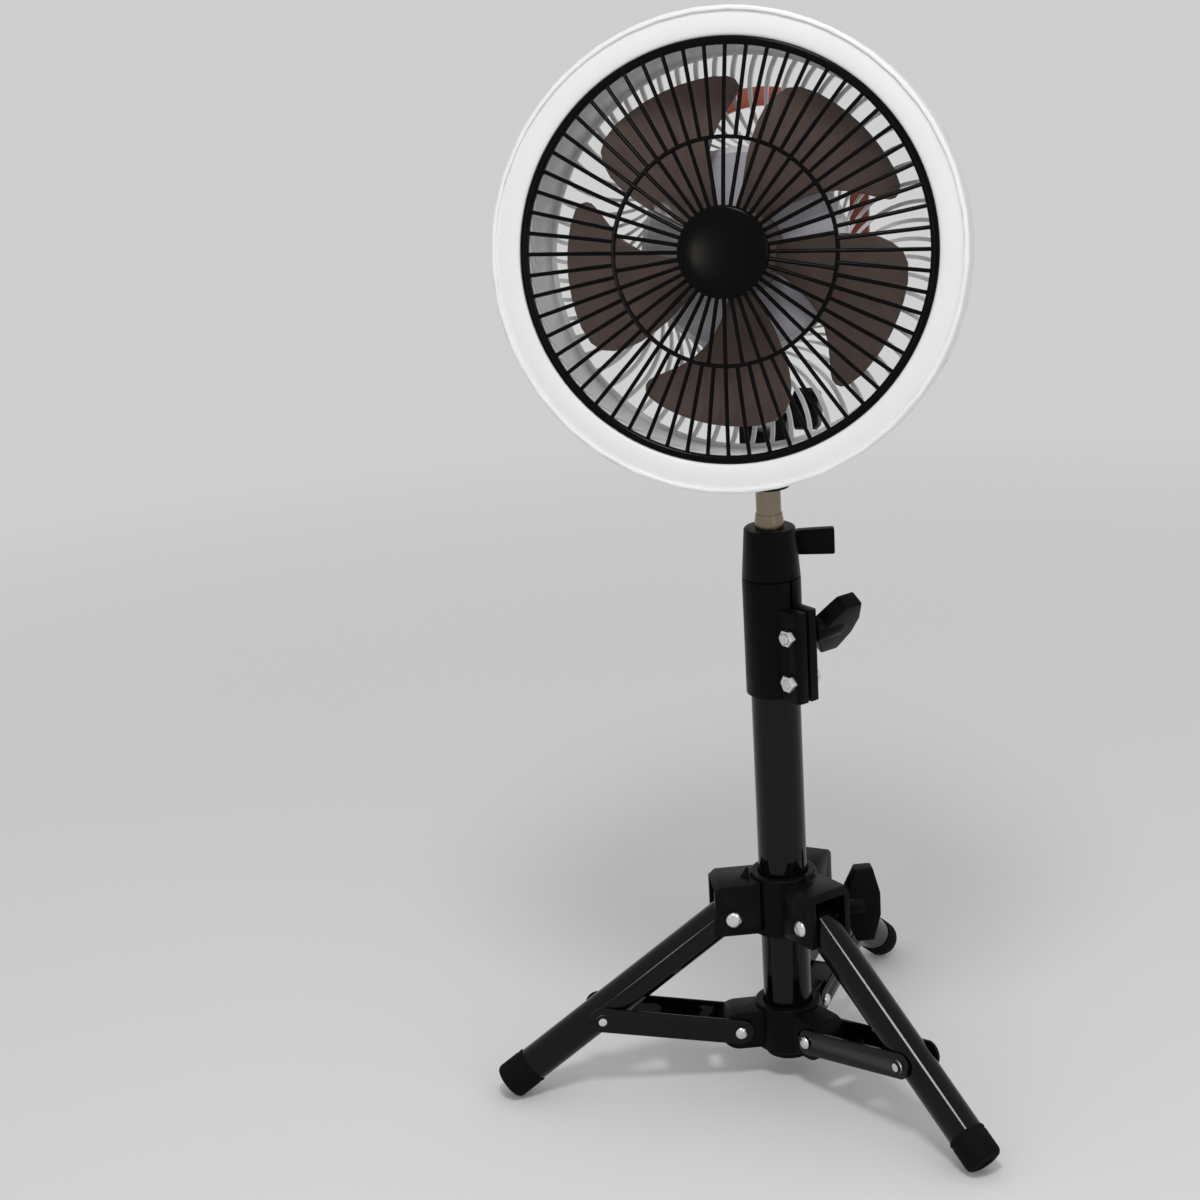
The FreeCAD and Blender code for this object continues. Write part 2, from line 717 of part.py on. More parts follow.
def build_strut(index):
    """A strut: two cheeks that straddle the leg, joined by a short web."""
    direction = leg_direction(index)
    body = new_body("strut_" + str(index + 1))
    half = s.strut_height / 2
    web = new_sketch(body, "XZ_Plane")
    web_end = s.web_start + s.web_length
    draw_outline(web, rectangle(s.web_start, -half, web_end, -half + s.strut_sheet))
    pad(body, web, 2 * strut_outside, symmetric=True)
    for side in (-1, 1):
        middle = side * (cheek_inside + s.strut_sheet / 2)
        cheek = new_sketch(body, "XZ_Plane", middle)
        cheek_outline = [(0, half, half), (0, -half), (strut_length, -half, half), (strut_length, half)]
        draw_outline(cheek, cheek_outline)
        pad(body, cheek, s.strut_sheet, symmetric=True)
        rivet = new_sketch(body, "XZ_Plane", side * (strut_outside + s.rivet_height / 2))
        draw_circle(rivet, s.rivet_radius, strut_length, 0)
        pad(body, rivet, s.rivet_height, symmetric=True)
    hole = new_sketch(body, "XZ_Plane")
    draw_circle(hole, s.pin_radius + s.running_fit)
    pocket(body, hole, 2 * strut_outside + 2)
    spot = (
        s.collar_pivot_radius * cosine(direction),
        s.collar_pivot_radius * sine(direction),
        collar_pivot_height,
    )
    place(body, spot, (TURN_Z, direction), (TURN_Y, -strut_slope))


def build_legs():
    for index in range(int(s.leg_count.number)):
        number = str(index + 1)
        direction = leg_direction(index)
        hub_spot = (s.hub_pivot_radius, hub_pivot_height)
        pin("hub_pin_" + number, hub_spot, direction, hub_cheek_outside, s.hub_pin_radius)
        collar_spot = (s.collar_pivot_radius, collar_pivot_height)
        seat = strut_outside + s.move_gap
        pin("collar_pin_" + number, collar_spot, direction, seat, s.rivet_radius)
        build_leg(index)
        build_strut(index)


def clamp_ears(body, azimuth, reach, low, high):
    """Two ears with a slit between them, out of a clamp's sleeve."""
    turn = ((TURN_Z, azimuth),)
    ears = new_sketch(body, "XY_Plane", low, turn)
    start = s.middle_radius + s.tube_wall
    draw_outline(ears, rectangle(start, -knob_seat, reach, knob_seat))
    pad(body, ears, high - low)


def clamp_slit(body, azimuth, reach, low, high):
    slit = new_sketch(body, "XY_Plane", low - 1, ((TURN_Z, azimuth),))
    draw_outline(slit, rectangle(0, -s.ear_slit / 2, reach + 1, s.ear_slit / 2))
    pocket(body, slit, high - low + 2, symmetric=False, reverse=True)


def bore_sleeve(body, radius, low, high):
    bore = new_sketch(body, "XY_Plane", low)
    draw_circle(bore, radius)
    pocket(body, bore, high - low, symmetric=False, reverse=True)


def bolt_hole(body, azimuth, out, height, radius):
    """A hole across the ears, square to the ears' direction."""
    hole = new_sketch(body, "XZ_Plane", 0, ((TURN_Y, azimuth),))
    draw_circle(hole, radius, out, height)
    pocket(body, hole, 4 * knob_seat)


def build_lower_clamp():
    """Clamp on the main tube's top: it grips the main tube and the middle tube."""
    low = s.lower_clamp_bottom
    high = lower_clamp_top
    body = turned("lower_clamp", rectangle(s.middle_radius, low, s.lower_clamp_radius, high))
    place(body, (0, 0, 0))
    clamp_ears(body, s.lower_ear_azimuth, s.ear_reach, low, high - s.ear_drop)
    round_edges(body, 2.4, ear_corner(s.ear_reach))
    bore_sleeve(body, s.main_radius, low - 1, main_top)
    bore_sleeve(body, s.middle_radius + s.running_fit, low - 1, high + 1)
    clamp_slit(body, s.lower_ear_azimuth, s.ear_reach, low, high)
    knob_bore = s.bolt_radius + s.running_fit
    bolt_hole(body, s.lower_ear_azimuth, s.ear_bolt_radius, knob_bolt_height, knob_bore)
    bolt_hole(body, s.lower_ear_azimuth, s.ear_bolt_radius, fixed_bolt_height, s.bolt_radius)
    round_edges(body, 1, at_height(high))


def ear_corner(reach):
    """The upright outer corners of a clamp's ears."""
    limit = size(reach).number - 1.5

    def test(edge):
        middle = edge.BoundBox.Center
        return math.hypot(middle.x, middle.y) > limit and edge.BoundBox.ZLength > 5

    return test


def build_upper_clamp():
    """Clamp on the middle tube's top, drawn shut on the inner tube."""
    low = upper_clamp_bottom
    high = upper_clamp_top
    body = turned(
        "upper_clamp",
        [
            (s.inner_radius, low),
            (s.upper_clamp_low_radius, low),
            (s.upper_clamp_high_radius, high),
            (s.inner_radius, high),
        ],
    )
    place(body, (0, 0, 0))
    ear_low = low + 4
    ear_high = high - 4
    clamp_ears(body, s.upper_ear_azimuth, s.upper_ear_reach, ear_low, ear_high)
    round_edges(body, 2.4, ear_corner(s.upper_ear_reach))
    bore_sleeve(body, s.middle_radius, low - 1, low + s.clamp_grip)
    bore_sleeve(body, s.inner_radius + s.running_fit, low - 1, high + 1)
    clamp_slit(body, s.upper_ear_azimuth, s.upper_ear_reach, low, high)
    bore = s.bolt_radius + s.running_fit
    bolt_hole(body, s.upper_ear_azimuth, s.upper_bolt_radius, low + s.upper_bolt_above, bore)
    round_edges(body, 1, at_height(high))


def across_ears(item, azimuth, out, height, along, *turns):
    """Place an object whose Z axis runs along a clamp bolt."""
    side = azimuth + 90
    spot = (
        out * cosine(azimuth) + along * cosine(side),
        out * sine(azimuth) + along * sine(side),
        height,
    )
    place(item, spot, (TURN_Z, azimuth), (TURN_X, -90), *turns)


def hexagon(radius):
    return [(radius * cosine(60 * corner), radius * sine(60 * corner)) for corner in range(6)]


def build_nut(label, radius, height, bore):
    """A hexagon nut with the bore that its bolt needs."""
    body = new_body(label)
    sketch = new_sketch(body, "XY_Plane")
    draw_outline(sketch, hexagon(radius))
    pad(body, sketch, height)
    thread = new_sketch(body, "XY_Plane")
    draw_circle(thread, bore)
    pocket(body, thread, height * 2, symmetric=True)
    return body


def build_wing_knob(label, span, depth, stud_length):
    """A wing knob: its Z axis is the bolt, from the stud's tip out to the wings."""
    body = turned(
        label,
        [
            (0, -stud_length),
            (s.bolt_radius, -stud_length),
            (s.bolt_radius, s.seat_gap),
            (s.wing_boss, s.seat_gap),
            (s.wing_boss, depth * 0.6),
            (s.wing_boss - 1.4, depth * 0.6 + 1.4),
            (0, depth * 0.6 + 1.4),
        ],
    )
    wing = new_sketch(body, "XZ_Plane")
    half = span / 2
    outline = [
        (0, depth * 0.14),
        (s.wing_boss - 0.6, depth * 0.14),
        (half, depth * 0.44),
        (half, depth * 0.84),
        (half * 0.3, depth),
        (-half * 0.3, depth),
        (-half, depth * 0.84),
        (-half, depth * 0.44),
        (0.6 - s.wing_boss, depth * 0.14),
    ]
    draw_outline(wing, outline)
    pad(body, wing, s.wing_thickness, symmetric=True)
    return body


def build_bar_knob(label):
    """The upper clamp's flat knob: a rounded bar on the end of its bolt."""
    body = turned(
        label,
        [
            (0, -2 * knob_seat - s.nut_height),
            (s.bolt_radius, -2 * knob_seat - s.nut_height),
            (s.bolt_radius, s.seat_gap),
            (s.bolt_radius + 1.6, s.seat_gap),
            (s.bolt_radius + 1.6, 2.5),
            (0, 2.5),
        ],
    )
    bar = new_sketch(body, "XZ_Plane")
    half = s.bar_span / 2
    corner = 2.5
    outline = [
        (-half + corner, 1.2),
        (half - corner, 1.2),
        (half, 1.2 + corner),
        (half, s.bar_depth - corner),
        (half - corner, s.bar_depth),
        (-half + corner, s.bar_depth),
        (-half, s.bar_depth - corner),
        (-half, 1.2 + corner),
    ]
    draw_outline(bar, outline)
    pad(body, bar, s.bar_thickness, symmetric=True)
    return body


def build_clamp_hardware():
    """Knobs, the fixed bolt and the nuts of both clamps and the hub."""
    stud = 2 * knob_seat + s.nut_height
    knob = build_wing_knob("lower_knob", s.wing_span, s.wing_depth, stud)
    turn = (TURN_Z, s.lower_wing_turn + 90)
    across_ears(knob, s.lower_ear_azimuth, s.ear_bolt_radius, knob_bolt_height, knob_seat, turn)
    nut_reach = -(knob_seat + s.nut_height)
    knob_bore = s.bolt_radius + s.running_fit
    for label, height, bore in (
        ("lower_knob_nut", knob_bolt_height, knob_bore),
        ("fixed_nut", fixed_bolt_height, s.bolt_radius),
    ):
        nut = build_nut(label, s.nut_radius, s.nut_height, bore)
        across_ears(nut, s.lower_ear_azimuth, s.ear_bolt_radius, height, nut_reach)
    bolt = turned(
        "fixed_bolt",
        [
            (0, -stud),
            (s.bolt_radius, -stud),
            (s.bolt_radius, 0),
            (s.nut_radius - 0.6, 0),
            (s.nut_radius - 0.6, 1.6),
            (s.bolt_radius, 2.4),
            (0, 2.4),
        ],
    )
    across_ears(bolt, s.lower_ear_azimuth, s.ear_bolt_radius, fixed_bolt_height, knob_seat)
    bar = build_bar_knob("upper_knob")
    upper_bolt_height = upper_clamp_bottom + s.upper_bolt_above
    flip = s.upper_ear_azimuth
    side = flip - 90
    spot = (
        s.upper_bolt_radius * cosine(flip) + knob_seat * cosine(side),
        s.upper_bolt_radius * sine(flip) + knob_seat * sine(side),
        upper_bolt_height,
    )
    place(bar, spot, (TURN_Z, flip), (TURN_X, 90), (TURN_Z, 90))
    nut = build_nut("upper_knob_nut", s.nut_radius, s.nut_height, knob_bore)
    across_ears(nut, flip, s.upper_bolt_radius, upper_bolt_height, knob_seat)
    stud_tip = s.hub_boss_reach - s.main_radius - s.move_gap
    hub_knob = build_wing_knob("hub_knob", s.hub_wing_span, s.hub_wing_depth, stud_tip)
    turn = s.hub_knob_azimuth
    hub_spot = (s.hub_boss_reach * cosine(turn), s.hub_boss_reach * sine(turn), hub_knob_height)
    place(hub_knob, hub_spot, (TURN_Z, turn), (TURN_Y, 90))


def build_inner_tubes():
    """Middle tube with its guide bush, inner tube with its stop and ferrule."""
    middle_top = upper_clamp_bottom + s.clamp_grip
    tube("middle_tube", s.middle_radius, s.tube_wall, s.middle_bottom, middle_top)
    bush = turned(
        "middle_bush",
        [
            (middle_bore, s.middle_bottom - 2),
            (main_bore - s.running_fit, s.middle_bottom - 2),
            (main_bore - s.running_fit, s.middle_bottom + 14),
            (s.middle_radius, s.middle_bottom + 14),
            (s.middle_radius, s.middle_bottom),
            (middle_bore, s.middle_bottom),
        ],
    )
    place(bush, (0, 0, 0))
    tube("inner_tube", s.inner_radius, s.tube_wall, s.inner_bottom, inner_top)
    stop = turned(
        "inner_stop",
        rectangle(s.inner_radius, s.inner_bottom, middle_bore - s.running_fit, s.inner_bottom + 12),
    )
    place(stop, (0, 0, 0))
    ferrule = turned(
        "ferrule",
        [
            (s.inner_radius, ferrule_bottom),
            (s.ferrule_radius, ferrule_bottom),
            (s.ferrule_radius, ferrule_bottom + 2.4),
            (s.inner_radius + 0.4, ferrule_top),
            (s.inner_radius, ferrule_top),
        ],
    )
    place(ferrule, (0, 0, 0))


def build_tilt_bracket():
    """Forked bracket that turns on the inner tube and carries the head's lug."""
    bore = s.inner_radius + s.running_fit
    slot_bottom = tilt_height - s.knuckle_radius - 2 * s.move_gap
    body = turned(
        "tilt_bracket",
        [
            (bore, socket_bottom),
            (s.socket_radius, socket_bottom),
            (s.socket_radius, slot_bottom),
            (0, slot_bottom),
            (0, inner_top + s.move_gap),
            (bore, inner_top + s.move_gap),
        ],
    )
    place(body, (0, 0, 0))
    fork = new_sketch(body, "YZ_Plane")
    low = inner_top + 1
    outline = [
        (-s.knuckle_radius, low),
        (s.knuckle_radius, low),
        (s.knuckle_radius, tilt_height, s.knuckle_radius),
        (-s.knuckle_radius, tilt_height),
    ]
    draw_outline(fork, outline)
    pad(body, fork, s.fork_width, symmetric=True)
    slot = new_sketch(body, "XZ_Plane")
    slot_top = tilt_height + s.knuckle_radius + 1
    draw_outline(slot, rectangle(-fork_slot, slot_bottom, fork_slot, slot_top))
    pocket(body, slot, 4 * s.knuckle_radius)
    hole = new_sketch(body, "YZ_Plane")
    draw_circle(hole, s.tilt_bolt_radius + s.running_fit, 0, tilt_height)
    pocket(body, hole, 2 * s.fork_width)


def build_tilt_hardware():
    """Tilt knob with its bolt, and the nut on the bolt's other end."""
    seat = s.fork_width / 2
    stud = s.fork_width + s.nut_height
    knob = turned(
        "tilt_knob",
        [
            (0, -stud),
            (s.tilt_bolt_radius, -stud),
            (s.tilt_bolt_radius, s.seat_gap),
            (s.tilt_knob_radius * 0.6, s.seat_gap),
            (s.tilt_knob_radius * 0.6, 2),
            (s.tilt_knob_radius, 3.5),
            (s.tilt_knob_radius, s.tilt_knob_depth - 1.5),
            (s.tilt_knob_radius - 1.5, s.tilt_knob_depth),
            (0, s.tilt_knob_depth),
        ],
    )
    groove = new_sketch(knob, "XY_Plane", 2.5)
    draw_circle(groove, 2, s.tilt_knob_radius + 1, 0)
    cut = pocket(knob, groove, s.tilt_knob_depth, symmetric=False, reverse=True)
    polar(knob, cut, s.tilt_lobes)
    place(knob, (seat, 0, tilt_height), (TURN_Y, 90))
    nut = build_nut("tilt_nut", s.nut_radius + 0.8, s.nut_height, s.tilt_bolt_radius + s.running_fit)
    place(nut, (-seat - s.nut_height, 0, tilt_height), (TURN_Y, 90))


def build_ring():
    """White head ring: outer wall, duct wall and the light's shelf between them."""
    outer_in = ring_radius - s.ring_wall
    duct_out = s.duct_radius + s.ring_wall
    back_in = ring_back_radius - s.ring_wall
    front = s.ring_plane + s.lip_height
    bend = ring_back + s.head_depth / 2
    ring = turned(
        "ring_housing",
        [
            (s.duct_radius, ring_back),
            (duct_out, ring_back),
            (duct_out, shelf_front - s.ring_wall),
            (outer_in, shelf_front - s.ring_wall),
            (outer_in, bend),
            (back_in, ring_back),
            (ring_back_radius, ring_back),
            (ring_radius, bend),
            (ring_radius, front - 0.6),
            (ring_radius - 0.6, front),
            (outer_in + 0.3, front),
            (outer_in, front - 0.4),
            (outer_in, shelf_front),
            (duct_out, shelf_front),
            (duct_out, duct_front),
            (s.duct_radius, duct_front),
        ],
    )
    place_in_head(ring)
    board = turned(
        "led_board",
        rectangle(duct_out + 0.3, shelf_front, outer_in - 1, shelf_front + s.board_thickness),
    )
    place_in_head(board)
    diffuser = turned(
        "ring_diffuser",
        rectangle(grille_radius, s.ring_plane - s.diffuser_thickness, outer_in, s.ring_plane),
    )
    place_in_head(diffuser)
    round_edges(diffuser, 0.4, at_height(s.ring_plane))


def spoke_window(inner, outer, count, width):
    """A window between two bars: its sides run along the bars."""
    half_turn = 180 / size(count)
    half = width / 2
    corners = []
    for radius, side in ((inner, -1), (outer, -1), (outer, 1), (inner, 1)):
        along = root(radius * radius - half * half)
        x = along * cosine(half_turn) + half * sine(half_turn)
        y = (along * sine(half_turn) - half * cosine(half_turn)) * side
        corners.append((x, y))
    corners[1] = corners[1] + (outer,)
    corners[3] = corners[3] + (-inner,)
    return corners


def build_front_grille():
    """Black front grille: bars and two rings on a shallow part of a sphere round a flat hub."""
    base = duct_front
    crown = base + s.grille_dome
    rim = grille_inner * grille_inner
    centre_drop = (rim - s.cap_radius * s.cap_radius - s.grille_dome * s.grille_dome) / (2 * s.grille_dome)
    dome = root(rim + centre_drop * centre_drop)
    body = turned(
        "front_grille",
        [
            (0, crown),
            (0, crown + s.grille_thickness),
            (s.cap_radius, crown + s.grille_thickness, -dome),
            (grille_inner, s.ring_plane),
            (grille_inner, s.ring_plane + 1),
            (grille_radius - 0.8, s.ring_plane + 1),
            (grille_radius, s.ring_plane + 0.2),
            (grille_radius, base),
            (grille_inner, base, dome),
            (s.cap_radius, crown),
        ],
    )
    place_in_head(body)
    middle_in = s.mid_ring_radius - s.mid_ring_width / 2
    middle_out = s.mid_ring_radius + s.mid_ring_width / 2
    for inner, outer, count in (
        (middle_out, grille_inner - 0.4, s.outer_bars),
        (s.cap_radius - 1, middle_in, s.inner_bars),
    ):
        window = new_sketch(body, "XY_Plane")
        draw_outline(window, spoke_window(inner, outer, count, s.bar_width))
        polar(body, pocket(body, window, 4 * s.ring_plane), count)
    cap_base = crown + s.grille_thickness
    cap = turned(
        "hub_cap",
        [
            (0, cap_base),
            (s.cap_radius, cap_base),
            (s.cap_radius, cap_base + s.cap_height * 0.5),
            (s.cap_radius - 1.2, cap_base + s.cap_height * 0.9),
            (0, cap_base + s.cap_height),
        ],
    )
    place_in_head(cap)


# Each section of a blade: degrees from its nose, and where its inner and its outer end
# stand between the blade's root in the hub (0) and the blade's tip (1)
BLADE_SECTIONS = (
    (1.0, 0.855, 0.934),
    (4.0, 0.763, 0.993),
    (9.0, 0.645, 1.0),
    (16.0, 0.474, 1.0),
    (22.0, 0.277, 1.0),
    (27.0, 0.0, 1.0),
    (38.0, 0.0, 1.0),
    (50.0, 0.0, 1.0),
    (55.0, 0.0, 0.934),
    (58.0, 0.0, 0.803),
    (61.0, 0.0, 0.684),
    (63.5, 0.0, 0.448),
)


def build_rotor():
    """Fan rotor: a cup-shaped hub with swept blades, its shaft and its nut."""
    low = blade_middle - s.rotor_hub_height / 2
    high = blade_middle + s.rotor_hub_height / 2
    inside = s.rotor_hub_radius - s.rotor_hub_wall
    body = turned(
        "fan_rotor",
        [
            (s.shaft_radius, high - 6),
            (inside, high - 6),
            (inside, low),
            (s.rotor_hub_radius, low),
            (s.rotor_hub_radius, high - 2),
            (s.rotor_hub_radius - 2, high),
            (s.shaft_radius, high),
        ],
    )
    middle_angle = (BLADE_SECTIONS[0][0] + BLADE_SECTIONS[-1][0]) / 2
    span = BLADE_SECTIONS[-1][0] - BLADE_SECTIONS[0][0]
    root_end = s.rotor_hub_radius - s.rotor_hub_wall / 2
    reach = s.blade_radius - root_end
    sketches = []
    for angle, inner, outer in BLADE_SECTIONS:
        sketch = new_sketch(body, "XZ_Plane", 0, ((TURN_Y, s.blade_phase + angle),))
        height = blade_middle + s.blade_rise * ((angle - middle_angle) / span)
        half = s.blade_thickness / 2
        corners = rectangle(root_end + reach * inner, height - half, root_end + reach * outer, height + half)
        draw_outline(sketch, corners)
        sketches.append(sketch)
    blade = body.newObject("PartDesign::AdditiveLoft", "fan_rotor_blade")
    blade.Profile = sketches[0]
    blade.Sections = sketches[1:]
    blade.Ruled = True
    polar(body, blade, s.blade_count)
    place_in_head(body)
    shaft_back = pod_front - s.motor_length / 2
    shaft = turned("motor_shaft", rectangle(0, shaft_back, s.shaft_radius, high + 2))
    place_in_head(shaft)
    spinner = turned(
        "rotor_nut",
        [
            (s.shaft_radius, high),
            (s.spinner_radius, high),
            (s.spinner_radius, high + 1.5),
            (s.shaft_radius + 1.5, high + 4.5),
            (0, high + 4.5),
            (0, high + 2),
            (s.shaft_radius, high + 2),
        ],
    )
    place_in_head(spinner)


def swirl_window(inner, outer, count, width, swirl):
    """A window between two rear bars, whose sides lean round the axis."""
    step = 360 / size(count)
    half_inner = width / inner * 90 / math.pi
    half_outer = width / outer * 90 / math.pi
    lean = size(swirl)
    corners = []
    for radius, angle in (
        (inner, half_inner),
        (outer, lean + half_outer),
        (outer, lean + step - half_outer),
        (inner, step - half_inner),
    ):
        corners.append((radius * cosine(angle), radius * sine(angle)))
    bend = outer - inner
    return [
        corners[0] + (-bend,),
        corners[1] + (outer,),
        corners[2] + (bend,),
        corners[3] + (-inner,),
    ]


def build_rear_grille():
    """Rear grille: a flange that closes the ring, swirled bars and an inner ring."""
    body = turned(
        "rear_grille",
        rectangle(s.pod_radius, ring_back - s.rear_thickness, ring_back_radius, ring_back),
    )
    place_in_head(body)
    window = new_sketch(body, "XY_Plane")
    inner = s.pod_radius + s.rear_hub_wall
    outer = s.duct_radius - 1.5
    draw_outline(window, swirl_window(inner, outer, s.rear_bars, s.bar_width, s.rear_swirl))
    polar(body, pocket(body, window, 4 * s.ring_plane), s.rear_bars)
    ring_middle = (s.duct_radius + ring_back_radius) / 2
    for index in range(3):
        angle = 90 + 120 * index
        screw = turned(
            "ring_screw_" + str(index + 1),
            [
                (0, -s.screw_height),
                (s.screw_radius * 0.7, -s.screw_height),
                (s.screw_radius, -s.screw_height * 0.4),
                (s.screw_radius, 0),
                (0, 0),
            ],
        )
        spot = (ring_middle * cosine(angle), ring_middle * sine(angle), ring_back - s.rear_thickness)
        place_in_head(screw, spot)


def lug_outline():
    """Side outline of the tilt lug: in the head's frame, from the pod to the pivot."""
    drop = head_height - tilt_height
    y = -drop * cosine(s.head_tilt)
    z = -drop * sine(s.head_tilt)
    top = -s.pod_rear_radius + s.pod_wall * 1.6
    return y, z, top


def build_pod():
    """Pod shell behind the fan, with the tilt lug below and the hook's bosses."""
    wall = s.pod_wall
    slope = s.pod_radius - s.pod_rear_radius
    body = turned(
        "pod_shell",
        [
            (s.pod_rear_radius - wall, -s.pod_rear),
            (s.pod_rear_radius, -s.pod_rear),
            (s.pod_rear_radius, -s.pod_step),
            (s.pod_radius, slope - s.pod_step),
            (s.pod_radius, pod_front),
            (s.motor_radius, pod_front),
            (s.motor_radius, pod_front - wall),
            (s.pod_radius - wall, pod_front - wall),
            (s.pod_radius - wall, slope + wall * 0.5 - s.pod_step),
            (s.pod_rear_radius - wall, wall * 0.5 - s.pod_step),
        ],
    )
    y, z, top = lug_outline()
    lug = new_sketch(body, "YZ_Plane")
    radius = s.knuckle_radius
    outline = [
        (y, z - radius),
        (top, z - radius),
        (top, z + radius),
        (y, z + radius, radius),
    ]
    draw_outline(lug, outline)
    pad(body, lug, s.lug_thickness, symmetric=True)
    hole = new_sketch(body, "YZ_Plane")
    draw_circle(hole, s.tilt_bolt_radius + s.running_fit, y, z)
    pocket(body, hole, 2 * s.lug_thickness)
    boss_start = s.pod_rear_radius - wall
    boss_end = hook_inner - s.move_gap
    for side in (-1, 1):
        boss = new_sketch(body, "YZ_Plane", side * (boss_start + boss_end) / 2)
        draw_circle(boss, s.hook_boss_radius, 0, hook_plane)
        pad(body, boss, boss_end - boss_start, symmetric=True)
    hole = new_sketch(body, "YZ_Plane")
    draw_circle(hole, s.pin_radius, 0, hook_plane)
    pocket(body, hole, 4 * s.pod_radius)
    place_in_head(body)
    for side, label in ((-1, "hook_pin_left"), (1, "hook_pin_right")):
        build_hook_pin(label, side, boss_start, hook_outer + s.move_gap)


def build_hook_pin(label, side, start, seat):
    """A hook pivot pin: pressed in the pod's boss, its head outside the hook."""
    head = turned(
        label,
        [
            (0, start),
            (s.pin_radius, start),
            (s.pin_radius, seat),
            (s.rivet_radius, seat),
            (s.rivet_radius, seat + s.rivet_height * 0.5),
            (s.rivet_radius * 0.7, seat + s.rivet_height),
            (0, seat + s.rivet_height),
        ],
    )
    place_in_head(head, (0, 0, hook_plane), (TURN_Y, 90 * side))


def build_hook():
    """Hanging hook: a U-shaped bail that swings on the pod's two side pins."""
    body = new_body("hanging_hook")
    sketch = new_sketch(body, "XY_Plane")
    end = s.hook_band / 2
    outline = [
        (hook_outer, 0),
        (hook_outer, s.hook_leg, hook_outer),
        (-hook_outer, s.hook_leg),
        (-hook_outer, 0, end),
        (-hook_inner, 0),
        (-hook_inner, s.hook_leg, -hook_inner),
        (hook_inner, s.hook_leg),
        (hook_inner, 0, end),
    ]
    draw_outline(sketch, outline)
    pad(body, sketch, s.hook_thickness, symmetric=True)
    hole = new_sketch(body, "YZ_Plane")
    draw_circle(hole, s.pin_radius + s.running_fit)
    pocket(body, hole, 4 * hook_outer)
    place_in_head(body, (0, 0, hook_plane))


def build_cover():
    """Rear cover of the pod, with posts for the board and holes for the controls."""
    inside = -cover_back + s.pod_wall
    body = turned(
        "pod_cover",
        [
            (0, -cover_back),
            (s.pod_rear_radius - s.cover_round, -cover_back, s.cover_round),
            (s.pod_rear_radius, -cover_back + s.cover_round),
            (s.pod_rear_radius, -s.pod_rear),
            (s.pod_rear_radius - s.pod_wall, -s.pod_rear),
            (s.pod_rear_radius - s.pod_wall, inside),
            (0, inside),
        ],
    )
    place_in_head(body)
    for x in (-1, 1):
        for y in (-1, 1):
            post = new_sketch(body, "XY_Plane", -cover_back + 1)
            draw_circle(post, 2, x * (s.board_width / 2 - 3), y * (s.board_height / 2 - 3))
            pad(body, post, s.post_length + s.pod_wall - 1)
    holes = (
        (s.power_radius + s.move_gap, -s.button_spacing / 2),
        (s.light_radius + s.move_gap, s.button_spacing / 2),
    )
    for radius, x in holes:
        hole = new_sketch(body, "XY_Plane", -cover_back - 1)
        draw_circle(hole, radius, x, 0)
        pocket(body, hole, s.pod_wall + 2, symmetric=False, reverse=True)
    for width, height, middle in (
        (s.port_width, s.port_height, -s.port_drop),
        (s.lens_width, s.lens_height, s.lens_rise),
    ):
        slot = new_sketch(body, "XY_Plane", -cover_back - 1)
        draw_outline(slot, rectangle(-width / 2, middle - height / 2, width / 2, middle + height / 2))
        pocket(body, slot, s.pod_wall + 2, symmetric=False, reverse=True)


def build_button(label, radius, x):
    """A push button with an inner flange and a stem short of the board."""
    flange_front = -cover_back + s.pod_wall + s.seat_gap
    body = turned(
        label,
        [
            (0, -cover_back - s.button_height),
            (radius - 0.6, -cover_back - s.button_height),
            (radius, -cover_back - s.button_height + 0.6),
            (radius, flange_front),
            (radius + s.button_flange, flange_front),
            (radius + s.button_flange, flange_front + 1.2),
            (1.5, flange_front + 1.2),
            (1.5, board_back - 1.2),
            (0, board_back - 1.2),
        ],
    )
    place_in_head(body, (x, 0, 0))


